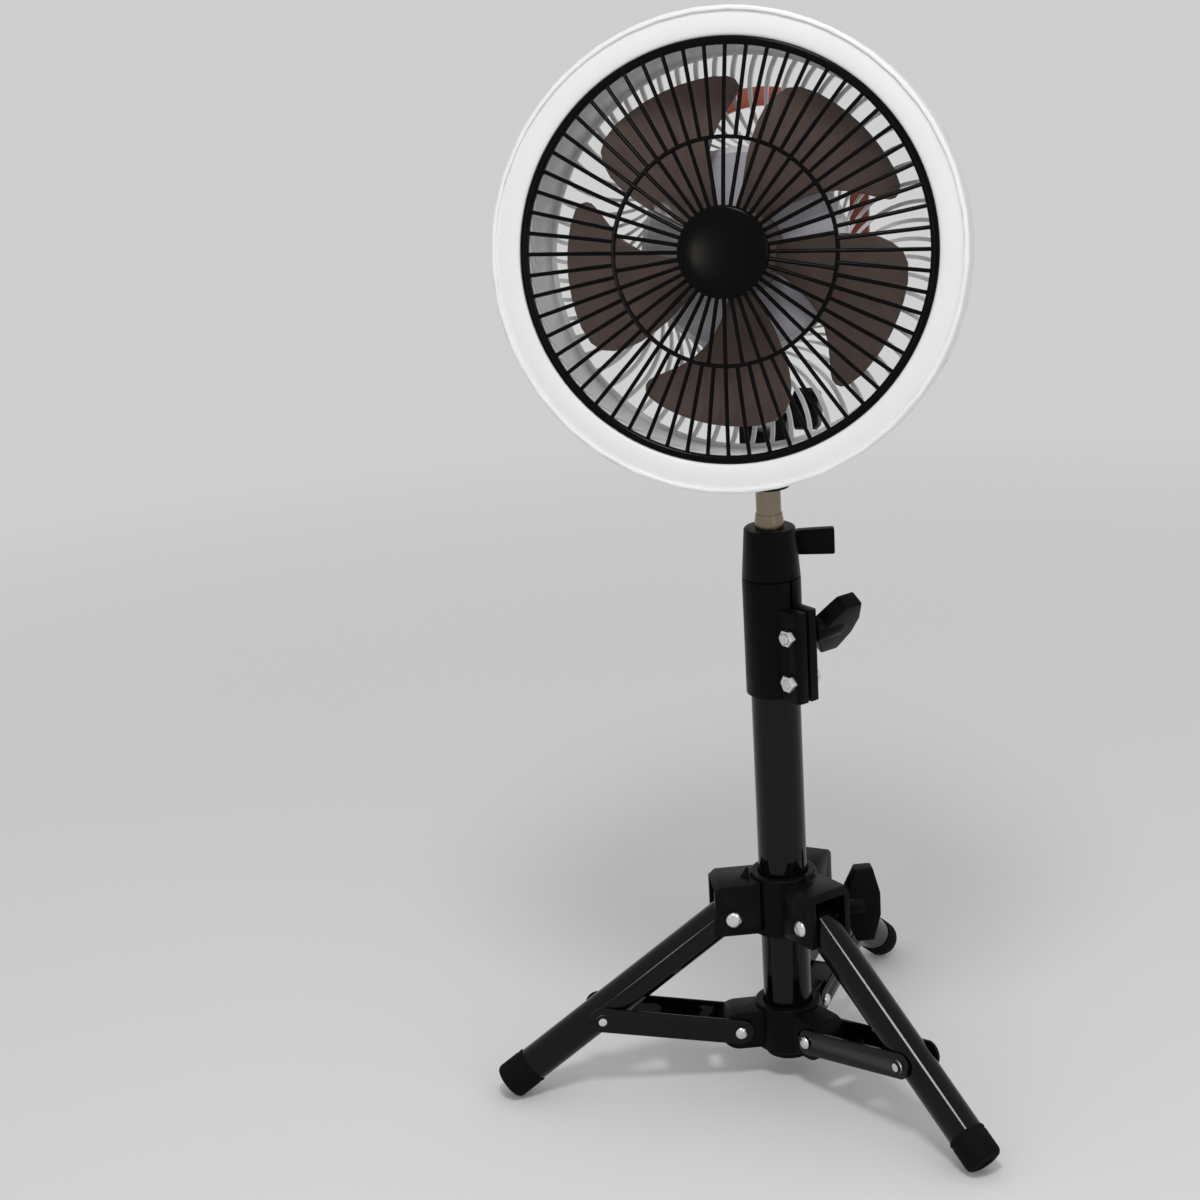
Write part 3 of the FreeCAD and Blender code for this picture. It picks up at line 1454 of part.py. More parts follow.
def build_electronics():
    """Battery, motor, control board, charging port, indicator lens and buttons."""
    battery = new_body("battery_pack")
    outline = new_sketch(battery, "YZ_Plane")
    half = s.cell_spacing / 2
    front = pod_front - s.motor_length
    middle = front - s.cell_radius
    ends = [
        (half, middle - s.cell_radius, s.cell_radius),
        (half, middle + s.cell_radius),
        (-half, middle + s.cell_radius, s.cell_radius),
        (-half, middle - s.cell_radius),
    ]
    draw_outline(outline, ends)
    pad(battery, outline, s.cell_length, symmetric=True)
    place_in_head(battery)
    motor_back = pod_front - s.motor_length
    motor = turned(
        "motor",
        [
            (s.shaft_radius + s.running_fit, pod_front - s.motor_length / 2),
            (s.shaft_radius + s.running_fit, pod_front + 2),
            (s.motor_radius * 0.5, pod_front + 2),
            (s.motor_radius * 0.5, pod_front),
            (s.motor_radius, pod_front),
            (s.motor_radius, motor_back),
            (0, motor_back),
            (0, pod_front - s.motor_length / 2),
        ],
    )
    place_in_head(motor)
    board = new_body("circuit_board")
    sketch = new_sketch(board, "XY_Plane", board_back)
    draw_outline(
        sketch,
        rectangle(-s.board_width / 2, -s.board_height / 2, s.board_width / 2, s.board_height / 2),
    )
    pad(board, sketch, s.board_thickness)
    place_in_head(board)
    port = new_body("charging_port")
    shell = new_sketch(port, "XY_Plane", -cover_back + 0.4)
    half_width = s.port_width / 2
    half_height = s.port_height / 2
    draw_outline(
        shell,
        rectangle(-half_width, -s.port_drop - half_height, half_width, -s.port_drop + half_height),
    )
    pad(port, shell, board_back + cover_back - 0.4)
    mouth = new_sketch(port, "XY_Plane", -cover_back)
    wall = 0.4
    mouth_corners = rectangle(
        -half_width + wall,
        -s.port_drop - half_height + wall,
        half_width - wall,
        -s.port_drop + half_height - wall,
    )
    draw_outline(mouth, mouth_corners)
    pocket(port, mouth, 6, symmetric=False, reverse=True)
    place_in_head(port)
    lens = new_body("indicator_lens")
    window = new_sketch(lens, "XY_Plane", -cover_back - 0.2)
    half_lens = s.lens_width / 2
    draw_outline(
        window,
        rectangle(-half_lens, s.lens_rise - s.lens_height / 2, half_lens, s.lens_rise + s.lens_height / 2),
    )
    pad(lens, window, board_back + cover_back + 0.2)
    place_in_head(lens)
    build_button("power_button", s.power_radius, -s.button_spacing / 2)
    build_button("light_button", s.light_radius, s.button_spacing / 2)


def write_parts():
    """Check every object, then write one file for each piece."""
    doc.recompute()
    faults = []
    for item in doc.Objects:
        if "Invalid" in item.State or "Error" in item.State:
            faults.append(item.Name + " is in state " + ", ".join(item.State))
    for body in parts:
        shape = body.Shape
        if shape.isNull() or not shape.isValid() or len(shape.Solids) != 1:
            faults.append(body.Label + " is not one valid solid")
    if faults:
        raise RuntimeError("; ".join(faults))
    os.makedirs("parts", exist_ok=True)
    for body in parts:
        body.Shape.exportStep("parts/" + body.Label + ".step")
    print(len(parts), "pieces written")


build_column()
build_lower_collar()
build_leg_hub()
build_legs()
build_lower_clamp()
build_upper_clamp()
build_clamp_hardware()
build_inner_tubes()
build_tilt_bracket()
build_tilt_hardware()
build_ring()
build_front_grille()
build_rotor()
build_rear_grille()
build_pod()
build_hook()
build_cover()
build_electronics()
write_parts()
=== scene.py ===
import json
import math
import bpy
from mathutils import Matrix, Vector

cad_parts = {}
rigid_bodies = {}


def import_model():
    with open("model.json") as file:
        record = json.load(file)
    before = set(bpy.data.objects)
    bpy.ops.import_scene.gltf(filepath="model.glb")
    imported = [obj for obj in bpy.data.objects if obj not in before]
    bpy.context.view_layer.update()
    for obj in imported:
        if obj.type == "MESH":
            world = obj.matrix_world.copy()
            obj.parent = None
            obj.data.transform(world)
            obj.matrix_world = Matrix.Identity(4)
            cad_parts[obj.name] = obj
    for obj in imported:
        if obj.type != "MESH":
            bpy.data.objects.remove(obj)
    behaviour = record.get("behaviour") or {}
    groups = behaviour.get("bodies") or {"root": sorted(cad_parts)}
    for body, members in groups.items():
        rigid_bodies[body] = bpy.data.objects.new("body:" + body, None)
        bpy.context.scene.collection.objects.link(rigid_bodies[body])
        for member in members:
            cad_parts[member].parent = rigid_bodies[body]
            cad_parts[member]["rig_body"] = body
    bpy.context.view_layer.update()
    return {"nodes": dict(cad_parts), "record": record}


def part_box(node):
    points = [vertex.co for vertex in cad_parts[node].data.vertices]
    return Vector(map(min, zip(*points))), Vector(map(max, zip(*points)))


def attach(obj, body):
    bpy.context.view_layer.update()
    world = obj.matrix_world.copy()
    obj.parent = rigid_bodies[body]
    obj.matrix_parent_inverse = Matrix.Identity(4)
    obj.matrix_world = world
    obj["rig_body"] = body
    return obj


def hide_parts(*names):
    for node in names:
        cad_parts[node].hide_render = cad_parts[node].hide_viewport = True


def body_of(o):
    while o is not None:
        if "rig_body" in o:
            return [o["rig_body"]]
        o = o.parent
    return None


bl_info = {
    "name": "Camping Fan Dresser",
    "version": (1, 0, 0),
    "blender": (4, 5, 0),
    "location": "View3D > Sidebar > Camping Fan",
    "description": "Dresses a portable tripod fan with modelled pieces and finishes",
    "category": "Object",
}

import bpy
from bpy.props import FloatProperty, FloatVectorProperty, IntProperty, PointerProperty
from mathutils import Matrix, Vector

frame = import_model()
NODES = frame["nodes"]
JOINTS = {joint["name"]: joint for joint in frame["record"]["behaviour"]["joints"]}

# Points of a mesh that are closer together than this, in metres, are one point
SAME_POINT = 1e-6
# Least cosine between a side's normal and the direction that it is said to face
FACING = 0.7
DUST_COLOUR = (0.42, 0.40, 0.37, 1.0)
WHITE = (1.0, 1.0, 1.0, 1.0)
FLOOR_SIZE = 24
# The floor fades into the backdrop between these squares of the distance from the fan, in square metres
FADE_START = 0.06
FADE_END = 1.3
LAMP_TARGET = Vector((0, 0, 0.25))
SENSOR_WIDTH = 36


def frame_at(place, across, up, forward):
    """The frame at a place whose x, y and z axes are the three given."""
    return Matrix.Translation(Vector(place)) @ Matrix((across, up, forward)).transposed().to_4x4()


# The head's own frame: the rotor's centre, x to the right, y up, z forward
ROTOR_AXIS = Vector(JOINTS["rotor_spin"]["axis"]).normalized()
HEAD_UP = ROTOR_AXIS.cross(Vector((1, 0, 0)))
HEAD_FRAME = frame_at(JOINTS["rotor_spin"]["pos_m"], Vector((1, 0, 0)), HEAD_UP, ROTOR_AXIS)


def half_width(node):
    """Half the node's size across the fan, from left to right."""
    low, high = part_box(node)
    return (high.x - low.x) / 2


def level(name, default, description, **more):
    return FloatProperty(name=name, description=description, default=default, min=0.0, **more)


def length(name, default, description):
    return level(name, default, description, unit="LENGTH", precision=5)


def degrees(name, default, description):
    return FloatProperty(name=name, description=description, default=math.radians(default), subtype="ANGLE")


def number(name, default, least, description):
    return IntProperty(name=name, description=description, default=default, min=least)


def tint(name, colour, description):
    return FloatVectorProperty(
        name=name, description=description, default=colour, size=3, min=0.0, max=1.0, subtype="COLOR"
    )


class FanSizes(bpy.types.PropertyGroup):
    """Sizes of the modelled pieces."""

    grille_radius: length("Grille radius", half_width("front_grille"), "Outside radius of the front grille")
    grille_band: length("Grille band", 0.0034, "Width of the grille's outer band")
    grille_depth: length("Grille depth", 0.0026, "Depth of the grille from front to back")
    grille_dome: length("Grille dome", 0.007, "Rise of the grille from its rim to its cap")
    middle_radius: length("Middle ring", 0.045, "Radius of the grille's middle ring")
    bar_width: length("Bar width", 0.0017, "Width of a grille bar")
    ring_plane: length("Ring plane", 0.024, "Rotor centre forward to the ring plane")
    outer_bars: number("Outer bars", 60, 3, "Bars outside the middle ring")
    inner_bars: number("Inner bars", 40, 3, "Bars inside the middle ring")
    cap_radius: length("Cap radius", half_width("hub_cap"), "Radius of the hub cap")
    cap_height: length("Cap height", 0.0026, "Height of the hub cap")
    blade_radius: length("Blade radius", 0.0708, "Radius of the blade tips")
    blade_root: length("Blade root", 0.0165, "Radius at which a blade meets the rotor's hub")
    blade_rise: length("Blade rise", 0.015, "Axial rise of a blade along its sweep")
    blade_thickness: length("Blade thickness", 0.0015, "Thickness of a blade")
    blade_count: number("Blades", 5, 2, "Number of blades")
    blade_phase: degrees("Blade phase", 17.4, "Angle of the first blade's nose")
    wing_span: length("Wing span", 0.031, "Span of the lower clamp's wing knob")
    wing_depth: length("Wing depth", 0.0235, "Depth of the lower clamp's wing knob along its bolt")
    wing_turn: degrees("Wing turn", 35, "Turn of the lower clamp's wing knob from upright")
    hub_wing_span: length("Hub wing span", 0.036, "Span of the hub's wing knob")
    hub_wing_depth: length("Hub wing depth", 0.020, "Depth of the hub's wing knob along its bolt")
    wing_boss: length("Wing boss", 0.0056, "Radius of a wing knob's boss")
    wing_thickness: length("Wing thickness", 0.008, "Thickness of a wing")
    bar_span: length("Bar knob width", 0.0122, "Width of the upper clamp's bar knob")
    bar_depth: length("Bar knob depth", 0.0225, "Depth of the bar knob along its bolt")
    bar_thickness: length("Bar knob thickness", 0.005, "Thickness of the bar knob")
    leg_angle: degrees("Leg angle", 54.35, "Spread of a leg from the vertical")
    leg_length: length("Leg length", 0.1314, "Hub hinge to the end of the foot")
    foot_length: length("Foot length", 0.015, "Length of a rubber foot")
    foot_radius: length("Foot radius", 0.0086, "Outside radius of a rubber foot")
    strut_along: length("Strut rivet", 0.0766, "Hub hinge to a strut's rivet, along the leg")
    rivet_radius: length("Rivet radius", 0.003, "Radius of a rivet's head")
    hub_pin_radius: length("Hub pin radius", 0.0038, "Radius of a hub pin's head")
    stud_radius: length("Stud radius", 0.0025, "Radius of the knobs' threaded studs")
    rivet_height: length("Rivet height", 0.0018, "Height of a rivet's head")
    edge_round: length("Edge rounding", 0.0005, "Rounding of the moulded pieces' edges")


class FanColours(bpy.types.PropertyGroup):
    """Colours of the finishes."""

    enamel: tint("Enamel", (0.0020, 0.0020, 0.0023), "Gloss black enamel of the tubes")
    black_plastic: tint("Black plastic", (0.0032, 0.0032, 0.0035), "Satin black of clamps and knobs")
    grille_black: tint("Grille black", (0.0024, 0.0022, 0.0024), "Black of the front grille")
    ring_white: tint("Ring white", (0.82, 0.82, 0.82), "White of the ring")
    diffuser_white: tint("Diffuser white", (0.78, 0.78, 0.785), "Milky white of the light's diffuser")
    pod_grey: tint("Pod grey", (0.52, 0.51, 0.56), "Light grey of the battery pod")
    smoke: tint("Smoke", (0.112, 0.080, 0.069), "Smoky brown of the blades")
    nickel: tint("Nickel", (0.24, 0.195, 0.145), "Warm nickel of the inner tube")
    zinc: tint("Zinc", (0.70, 0.70, 0.71), "Bright zinc of pins, bolts and nuts")
    rubber: tint("Rubber", (0.0050, 0.0050, 0.0050), "Matte black rubber of the feet")
    hook_red: tint("Hook red", (0.26, 0.050, 0.028), "Rust red of the hanging hook")
    board_green: tint("Board green", (0.020, 0.110, 0.045), "Green of the circuit boards")
    cell_blue: tint("Cell blue", (0.030, 0.090, 0.300), "Blue sleeve of the battery cells")
    lens_grey: tint("Lens", (0.35, 0.36, 0.38), "Clear grey of the indicator lens")


class FanStage(bpy.types.PropertyGroup):
    """The stage: floor, lamps and camera."""

    backdrop: tint("Backdrop", (0.775, 0.775, 0.785), "Colour of the floor and backdrop")
    backdrop_glow: level("Backdrop glow", 0.62, "Level of the far backdrop, where 1 is white", max=1.0)
    sky_level: level("Sky level", 0.58, "Strength of the even light")
    top_power: level("Top lamp", 4.6, "Power of the top lamp", unit="POWER")
    side_power: level("Side lamp", 0.5, "Power of the warm side lamp", unit="POWER")
    fill_power: level("Fill lamp", 2.6, "Power of the fill lamp", unit="POWER")
    lens: FloatProperty(name="Lens", description="Focal length on a 36 mm sensor", default=83.4, min=1.0)
    camera_place: FloatVectorProperty(
        name="Camera place", description="Where the camera stands", default=(0.1941, -1.1474, 0.6152), size=3,
        subtype="TRANSLATION", unit="LENGTH",
    )
    camera_turn: FloatVectorProperty(
        name="Camera turn", description="The camera's yaw, pitch and roll", size=3, subtype="EULER",
        default=(math.radians(-13.33), math.radians(18.16), math.radians(-3.42)),
    )


# Selecting and finishing meshes


def deselect_all():
    if bpy.context.object and bpy.context.object.mode != "OBJECT":
        bpy.ops.object.mode_set(mode="OBJECT")
    bpy.ops.object.select_all(action="DESELECT")


def make_active(piece):
    deselect_all()
    piece.select_set(True)
    bpy.context.view_layer.objects.active = piece


def apply_place():
    bpy.ops.object.transform_apply(location=True, rotation=True, scale=True)


def edit(piece):
    make_active(piece)
    bpy.ops.object.mode_set(mode="EDIT")
    bpy.ops.mesh.select_mode(type="VERT")
    bpy.ops.mesh.select_all(action="SELECT")


def leave_edit():
    bpy.ops.object.mode_set(mode="OBJECT")


def select_parts(piece, kind, test):
    """Select, in edit mode, the faces (FACE) or points (VERT) that pass the test."""
    bpy.ops.mesh.select_mode(type=kind)
    bpy.ops.mesh.select_all(action="DESELECT")
    leave_edit()
    for part in piece.data.polygons if kind == "FACE" else piece.data.vertices:
        part.select = test(part)
    bpy.ops.object.mode_set(mode="EDIT")


def smooth(piece, angle=35):
    make_active(piece)
    bpy.ops.object.shade_smooth_by_angle(angle=math.radians(angle))


def close_shape(piece, angle=35):
    """Merge the seams, turn all faces outward and smooth what isn't a real edge."""
    edit(piece)
    bpy.ops.mesh.remove_doubles(threshold=SAME_POINT)
    bpy.ops.mesh.normals_make_consistent(inside=False)
    leave_edit()
    smooth(piece, angle)


def apply_modifier(piece, kind, **settings):
    make_active(piece)
    modifier = piece.modifiers.new(kind.title(), kind)
    for name, value in settings.items():
        setattr(modifier, name, value)
    bpy.ops.object.modifier_apply(modifier=modifier.name)


def round_edges(piece, width, segments=3, angle=35):
    apply_modifier(
        piece, "BEVEL", width=width, segments=segments, limit_method="ANGLE", angle_limit=math.radians(angle)
    )
    smooth(piece, 40)


def settle(piece, where=Matrix.Identity(4)):
    """Carry the finished piece to its place and leave its object at the origin."""
    piece.matrix_world = where
    make_active(piece)
    apply_place()


def dress(piece, slot, body, *nodes):
    """Give the piece its slot's finish and its body, and hide the nodes that it stands for."""
    piece.data.materials.clear()
    piece.data.materials.append(FINISHES[slot])
    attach(piece, body)
    if nodes:
        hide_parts(*nodes)


def join(name, pieces):
    make_active(pieces[0])
    for piece in pieces[1:]:
        piece.select_set(True)
    if len(pieces) > 1:
        bpy.ops.object.join()
    pieces[0].name = name
    return pieces[0]


def copy_round(piece, count):
    """Copies of the piece, evenly round the z axis, joined with it."""
    pieces = [piece]
    for i in range(1, count):
        make_active(piece)
        bpy.ops.object.duplicate()
        copy = bpy.context.object
        settle(copy, Matrix.Rotation(math.tau * i / count, 4, "Z"))
        pieces.append(copy)
    return join(piece.name, pieces)


def turn_rings(name, rings, steps=96, closed=False, angle=35):
    """A turned shape: a circle drawn on ring by ring, each one (radius, height)."""
    deselect_all()
    radius, height = rings[0]
    bpy.ops.mesh.primitive_circle_add(vertices=steps, radius=radius, location=(0, 0, height))
    piece = bpy.context.object
    piece.name = name
    apply_place()
    edit(piece)
    further = list(rings[1:])
    if closed:
        further.append(rings[0])
    for next_radius, next_height in further:
        bpy.ops.mesh.extrude_edges_move(TRANSFORM_OT_translate={"value": (0, 0, next_height - height)})
        grown = next_radius / radius
        bpy.ops.transform.resize(value=(grown, grown, 1), center_override=(0, 0, next_height))
        radius = next_radius
        height = next_height
    if not closed:
        bpy.ops.mesh.select_all(action="SELECT")
        bpy.ops.mesh.fill_holes(sides=0)
    leave_edit()
    close_shape(piece, angle)
    return piece


def add_block(name, low, high):
    """A block between two corners, ready to be shaped."""
    deselect_all()
    middle = (Vector(low) + Vector(high)) / 2
    bpy.ops.mesh.primitive_cube_add(size=1, location=middle)
    block = bpy.context.object
    block.name = name
    block.scale = Vector(high) - Vector(low)
    apply_place()
    return block


def grow_side(piece, normal, move, scale):
    """Draw the outermost side that faces along the normal outwards, and scale its end."""
    normal = Vector(normal)
    reach = max(normal.dot(face.center) for face in piece.data.polygons if face.normal.dot(normal) > FACING)
    make_active(piece)
    bpy.ops.object.mode_set(mode="EDIT")
    outermost = reach - 1e-5
    select_parts(
        piece, "FACE", lambda face: face.normal.dot(normal) > FACING and normal.dot(face.center) > outermost
    )
    leave_edit()
    ends = [face.center.copy() for face in piece.data.polygons if face.select]
    middle = sum(ends, Vector()) / len(ends) + Vector(move)
    bpy.ops.object.mode_set(mode="EDIT")
    bpy.ops.mesh.extrude_region_move(TRANSFORM_OT_translate={"value": move})
    bpy.ops.transform.resize(value=scale, center_override=middle)
    leave_edit()


def along(place, axis, up=(0, 0, 1)):
    """The frame at a place whose z axis runs along the axis and whose x axis points up."""
    axis = Vector(axis).normalized()
    up = Vector(up)
    up = (up - axis * up.dot(axis)).normalized()
    return frame_at(place, up, axis.cross(up), axis)


def line_of(joint):
    """A joint's place and axis."""
    return JOINTS[joint]["pos_m"], JOINTS[joint]["axis"]


def reach_along(node, place, axis):
    """How far a node reaches along an axis from a place, each way."""
    axis = Vector(axis).normalized()
    spans = [axis.dot(vertex.co - Vector(place)) for vertex in NODES[node].data.vertices]
    return min(spans), max(spans)


def rounded_copy(name, node, width, segments=2, dissolve=4):
    """A CAD node's own shape, merged, with its sharp edges rounded."""
    deselect_all()
    piece = NODES[node].copy()
    piece.data = NODES[node].data.copy()
    piece.name = name
    piece.parent = None
    for key in list(piece.keys()):
        if key.startswith("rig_"):
            del piece[key]
    bpy.context.collection.objects.link(piece)
    piece.matrix_world = Matrix.Identity(4)
    edit(piece)
    bpy.ops.mesh.customdata_custom_splitnormals_clear()
    bpy.ops.mesh.remove_doubles(threshold=SAME_POINT)
    bpy.ops.mesh.dissolve_limited(angle_limit=math.radians(dissolve))
    leave_edit()
    round_edges(piece, width, segments, 32)
    return piece


# Shared effects


def new_group(name, inputs, outputs):
    group = bpy.data.node_groups.new(name, "ShaderNodeTree")
    for socket, value in inputs:
        made = group.interface.new_socket(name=socket, in_out="INPUT", socket_type="NodeSocketFloat")
        made.default_value = value
    for socket in outputs:
        group.interface.new_socket(name=socket, in_out="OUTPUT", socket_type="NodeSocketFloat")
    return group, group.nodes.new("NodeGroupInput"), group.nodes.new("NodeGroupOutput")


def noise(tree, vector, scale, detail=3.0, rough=0.5):
    node = tree.nodes.new("ShaderNodeTexNoise")
    node.inputs["Detail"].default_value = detail
    node.inputs["Roughness"].default_value = rough
    tree.links.new(vector, node.inputs["Vector"])
    if isinstance(scale, (int, float)):
        node.inputs["Scale"].default_value = scale
    else:
        tree.links.new(scale, node.inputs["Scale"])
    return node.outputs["Fac"]


def spread(tree, value, low, high):
    """The value, stretched so that low becomes 0 and high becomes 1."""
    node = tree.nodes.new("ShaderNodeMapRange")
    node.inputs["From Min"].default_value = low
    node.inputs["From Max"].default_value = high
    tree.links.new(value, node.inputs["Value"])
    return node.outputs["Result"]


def reckon(tree, operation, first, second):
    node = tree.nodes.new("ShaderNodeMath")
    node.operation = operation
    for socket, value in zip(node.inputs, (first, second)):
        if isinstance(value, (int, float)):
            socket.default_value = value
        else:
            tree.links.new(value, socket)
    return node.outputs["Value"]


def make_grain_group():
    """Moulded or sprayed grain: a height for the bump and a slow mottling."""
    scales = (("Scale", 900.0), ("Mottle Scale", 40.0))
    group, given, out = new_group("Moulded Grain", scales, ("Height", "Mottle"))
    place = group.nodes.new("ShaderNodeTexCoord").outputs["Object"]
    group.links.new(noise(group, place, given.outputs["Scale"], 2.0, 0.6), out.inputs["Height"])
    mottle = noise(group, place, given.outputs["Mottle Scale"], 4.0, 0.55)
    group.links.new(spread(group, mottle, 0.3, 0.7), out.inputs["Mottle"])
    return group


def make_wear_group():
    """Rubbed edges, broken up by a noise."""
    group, given, out = new_group("Edge Wear", (("Start", 0.53), ("Amount", 0.5)), ("Wear",))
    place = group.nodes.new("ShaderNodeTexCoord").outputs["Object"]
    pointed = group.nodes.new("ShaderNodeNewGeometry").outputs["Pointiness"]
    edge = reckon(group, "MULTIPLY", reckon(group, "SUBTRACT", pointed, given.outputs["Start"]), 9.0)
    broken = reckon(group, "MULTIPLY", edge, spread(group, noise(group, place, 180.0, 5.0, 0.65), 0.42, 0.62))
    wear = group.nodes.new("ShaderNodeClamp")
    group.links.new(reckon(group, "MULTIPLY", broken, given.outputs["Amount"]), wear.inputs["Value"])
    group.links.new(wear.outputs["Result"], out.inputs["Wear"])
    return group


def make_dust_group():
    """Fine dust on what faces up."""
    group, given, out = new_group("Settled Dust", (("Amount", 0.1),), ("Dust",))
    place = group.nodes.new("ShaderNodeTexCoord").outputs["Object"]
    split = group.nodes.new("ShaderNodeSeparateXYZ")
    group.links.new(group.nodes.new("ShaderNodeNewGeometry").outputs["Normal"], split.inputs["Vector"])
    facing_up = spread(group, split.outputs["Z"], 0.35, 1.0)
    patches = spread(group, noise(group, place, 70.0, 6.0, 0.7), 0.35, 0.7)
    amount = reckon(group, "MULTIPLY", reckon(group, "MULTIPLY", facing_up, patches), given.outputs["Amount"])
    group.links.new(amount, out.inputs["Dust"])
    return group


def blend_colours(tree, factor, first, second):
    node = tree.nodes.new("ShaderNodeMix")
    node.data_type = "RGBA"
    tree.links.new(factor, node.inputs["Factor"])
    for socket, colour in ((node.inputs["A"], first), (node.inputs["B"], second)):
        if isinstance(colour, tuple):
            socket.default_value = colour
        else:
            tree.links.new(colour, socket)
    return node.outputs["Result"]


def mix_shaders(tree, share, first, second, output):
    """Send a mix of two shaders to the output's surface."""
    mix = tree.nodes.new("ShaderNodeMixShader")
    tree.links.new(share, mix.inputs["Fac"])
    tree.links.new(first, mix.inputs[1])
    tree.links.new(second, mix.inputs[2])
    tree.links.new(mix.outputs["Shader"], tree.nodes[output].inputs["Surface"])


def shade(colour, factor):
    return tuple(min(1.0, part * factor) for part in colour) + (1.0,)


FINISHES = {}
GROUPS = {}


def make_finish(name, slot, colour, roughness, grain=900.0, mottle=40.0, bump=0.02, variation=0.08, wear=0.3,
                wear_lift=2.0, dust=0.06, metallic=0.0, alpha=None, specular=0.5):
    """A finish with its own grain, mottling, rubbed edges and dust."""
    material = bpy.data.materials.new(name)
    material.use_nodes = True
    tree = material.node_tree
    shader = tree.nodes["Principled BSDF"]
    shader.inputs["Metallic"].default_value = metallic
    shader.inputs["Specular IOR Level"].default_value = specular
    effects = {}
    for key, values in (
        ("grain", {"Scale": grain, "Mottle Scale": mottle}),
        ("wear", {"Amount": wear}),
        ("dust", {"Amount": dust}),
    ):
        node = tree.nodes.new("ShaderNodeGroup")
        node.node_tree = GROUPS[key]
        for socket, value in values.items():
            node.inputs[socket].default_value = value
        effects[key] = node
    speckle = effects["grain"].outputs["Mottle"]
    mottled = blend_colours(tree, speckle, shade(colour, 1 - variation), shade(colour, 1 + variation))
    rubbed = blend_colours(tree, effects["wear"].outputs["Wear"], mottled, shade(colour, wear_lift))
    dusty = blend_colours(tree, effects["dust"].outputs["Dust"], rubbed, DUST_COLOUR)
    tree.links.new(dusty, shader.inputs["Base Color"])
    base = reckon(tree, "MULTIPLY_ADD", speckle, roughness * 0.22)
    base.node.inputs[2].default_value = roughness * 0.9
    rough = reckon(tree, "ADD", base, reckon(tree, "MULTIPLY", effects["dust"].outputs["Dust"], 0.8))
    tree.links.new(rough, shader.inputs["Roughness"])
    relief = tree.nodes.new("ShaderNodeBump")
    relief.inputs["Strength"].default_value = 0.5
    relief.inputs["Distance"].default_value = bump * 0.001
    tree.links.new(effects["grain"].outputs["Height"], relief.inputs["Height"])
    tree.links.new(relief.outputs["Normal"], shader.inputs["Normal"])
    if alpha is not None:
        see = reckon(tree, "MULTIPLY_ADD", speckle, 0.05)
        see.node.inputs[2].default_value = alpha
        tree.links.new(see, shader.inputs["Alpha"])
    FINISHES[slot] = material


class FinishesOperator(bpy.types.Operator):
    """Makes the fan's finishes and puts them on the carried-over parts"""

    bl_idname = "camping_fan.finishes"
    bl_label = "Finishes"

    def execute(self, context):
        colours = context.scene.fan_colours
        GROUPS["grain"] = make_grain_group()
        GROUPS["wear"] = make_wear_group()
        GROUPS["dust"] = make_dust_group()
        make_finish("Gloss black enamel", "black_metal", colours.enamel, 0.09, grain=260.0, variation=0.12,
                    wear=0.15, dust=0.005, specular=0.20)
        make_finish("Satin black moulding", "black_plastic", colours.black_plastic, 0.34, grain=1500.0,
                    bump=0.05, variation=0.12, wear=0.35, wear_lift=3.0, dust=0.006, specular=0.06)
        make_finish("Gloss black grille", "grille_plastic", colours.grille_black, 0.17, bump=0.012,
                    variation=0.10, wear=0.25, wear_lift=2.5, dust=0.003, specular=0.06)
        make_finish("White ring moulding", "white_plastic", colours.ring_white, 0.33, grain=1200.0,
                    variation=0.012, wear=0.2, wear_lift=1.1, dust=0.03)
        make_finish("Milky diffuser", "diffuser", colours.diffuser_white, 0.42, grain=2200.0, bump=0.03,
                    variation=0.008, wear=0.1, wear_lift=1.05, dust=0.02)
        make_finish("Light grey moulding", "grey_plastic", colours.pod_grey, 0.38, grain=1300.0, bump=0.04,
                    variation=0.02, wear=0.2, wear_lift=1.25, dust=0.05)
        make_finish("Smoky clear moulding", "smoke_plastic", colours.smoke, 0.14, grain=500.0, bump=0.006,
                    variation=0.10, wear=0.2, wear_lift=1.4, dust=0.006, alpha=0.90, specular=0.15)
        make_finish("Brushed warm nickel", "nickel", colours.nickel, 0.24, grain=700.0, bump=0.01,
                    variation=0.06, wear=0.2, wear_lift=1.3, dust=0.03, metallic=1.0)
        make_finish("Bright zinc", "steel", colours.zinc, 0.26, grain=1400.0, variation=0.07,
                    wear_lift=1.25, dust=0.04, metallic=1.0)
        make_finish("Matte rubber", "rubber", colours.rubber, 0.72, grain=1600.0, bump=0.10, variation=0.15,
                    wear=0.4, wear_lift=2.6, dust=0.012, specular=0.05)
        make_finish("Rust red moulding", "hook_plastic", colours.hook_red, 0.40, grain=1200.0, bump=0.04,
                    variation=0.06, wear_lift=1.5)
        make_finish("Solder-masked board", "board", colours.board_green, 0.35, grain=600.0, bump=0.03,
                    variation=0.2)
        make_finish("Sleeved cell", "battery", colours.cell_blue, 0.25, grain=300.0, variation=0.06)
        make_finish("Motor can", "motor_metal", colours.zinc, 0.32, grain=1100.0, variation=0.06,
                    metallic=1.0)
        make_finish("Black button moulding", "button_plastic", colours.black_plastic, 0.42, grain=1500.0,
                    bump=0.04, variation=0.1, dust=0.08)
        make_finish("Indicator lens", "lens", colours.lens_grey, 0.12, grain=400.0, bump=0.005,
                    variation=0.03, dust=0.02)
        for node in NODES.values():
            for slot in node.material_slots:
                slot.material = FINISHES[slot.material.name.split(".")[0]]
        return {"FINISHED"}


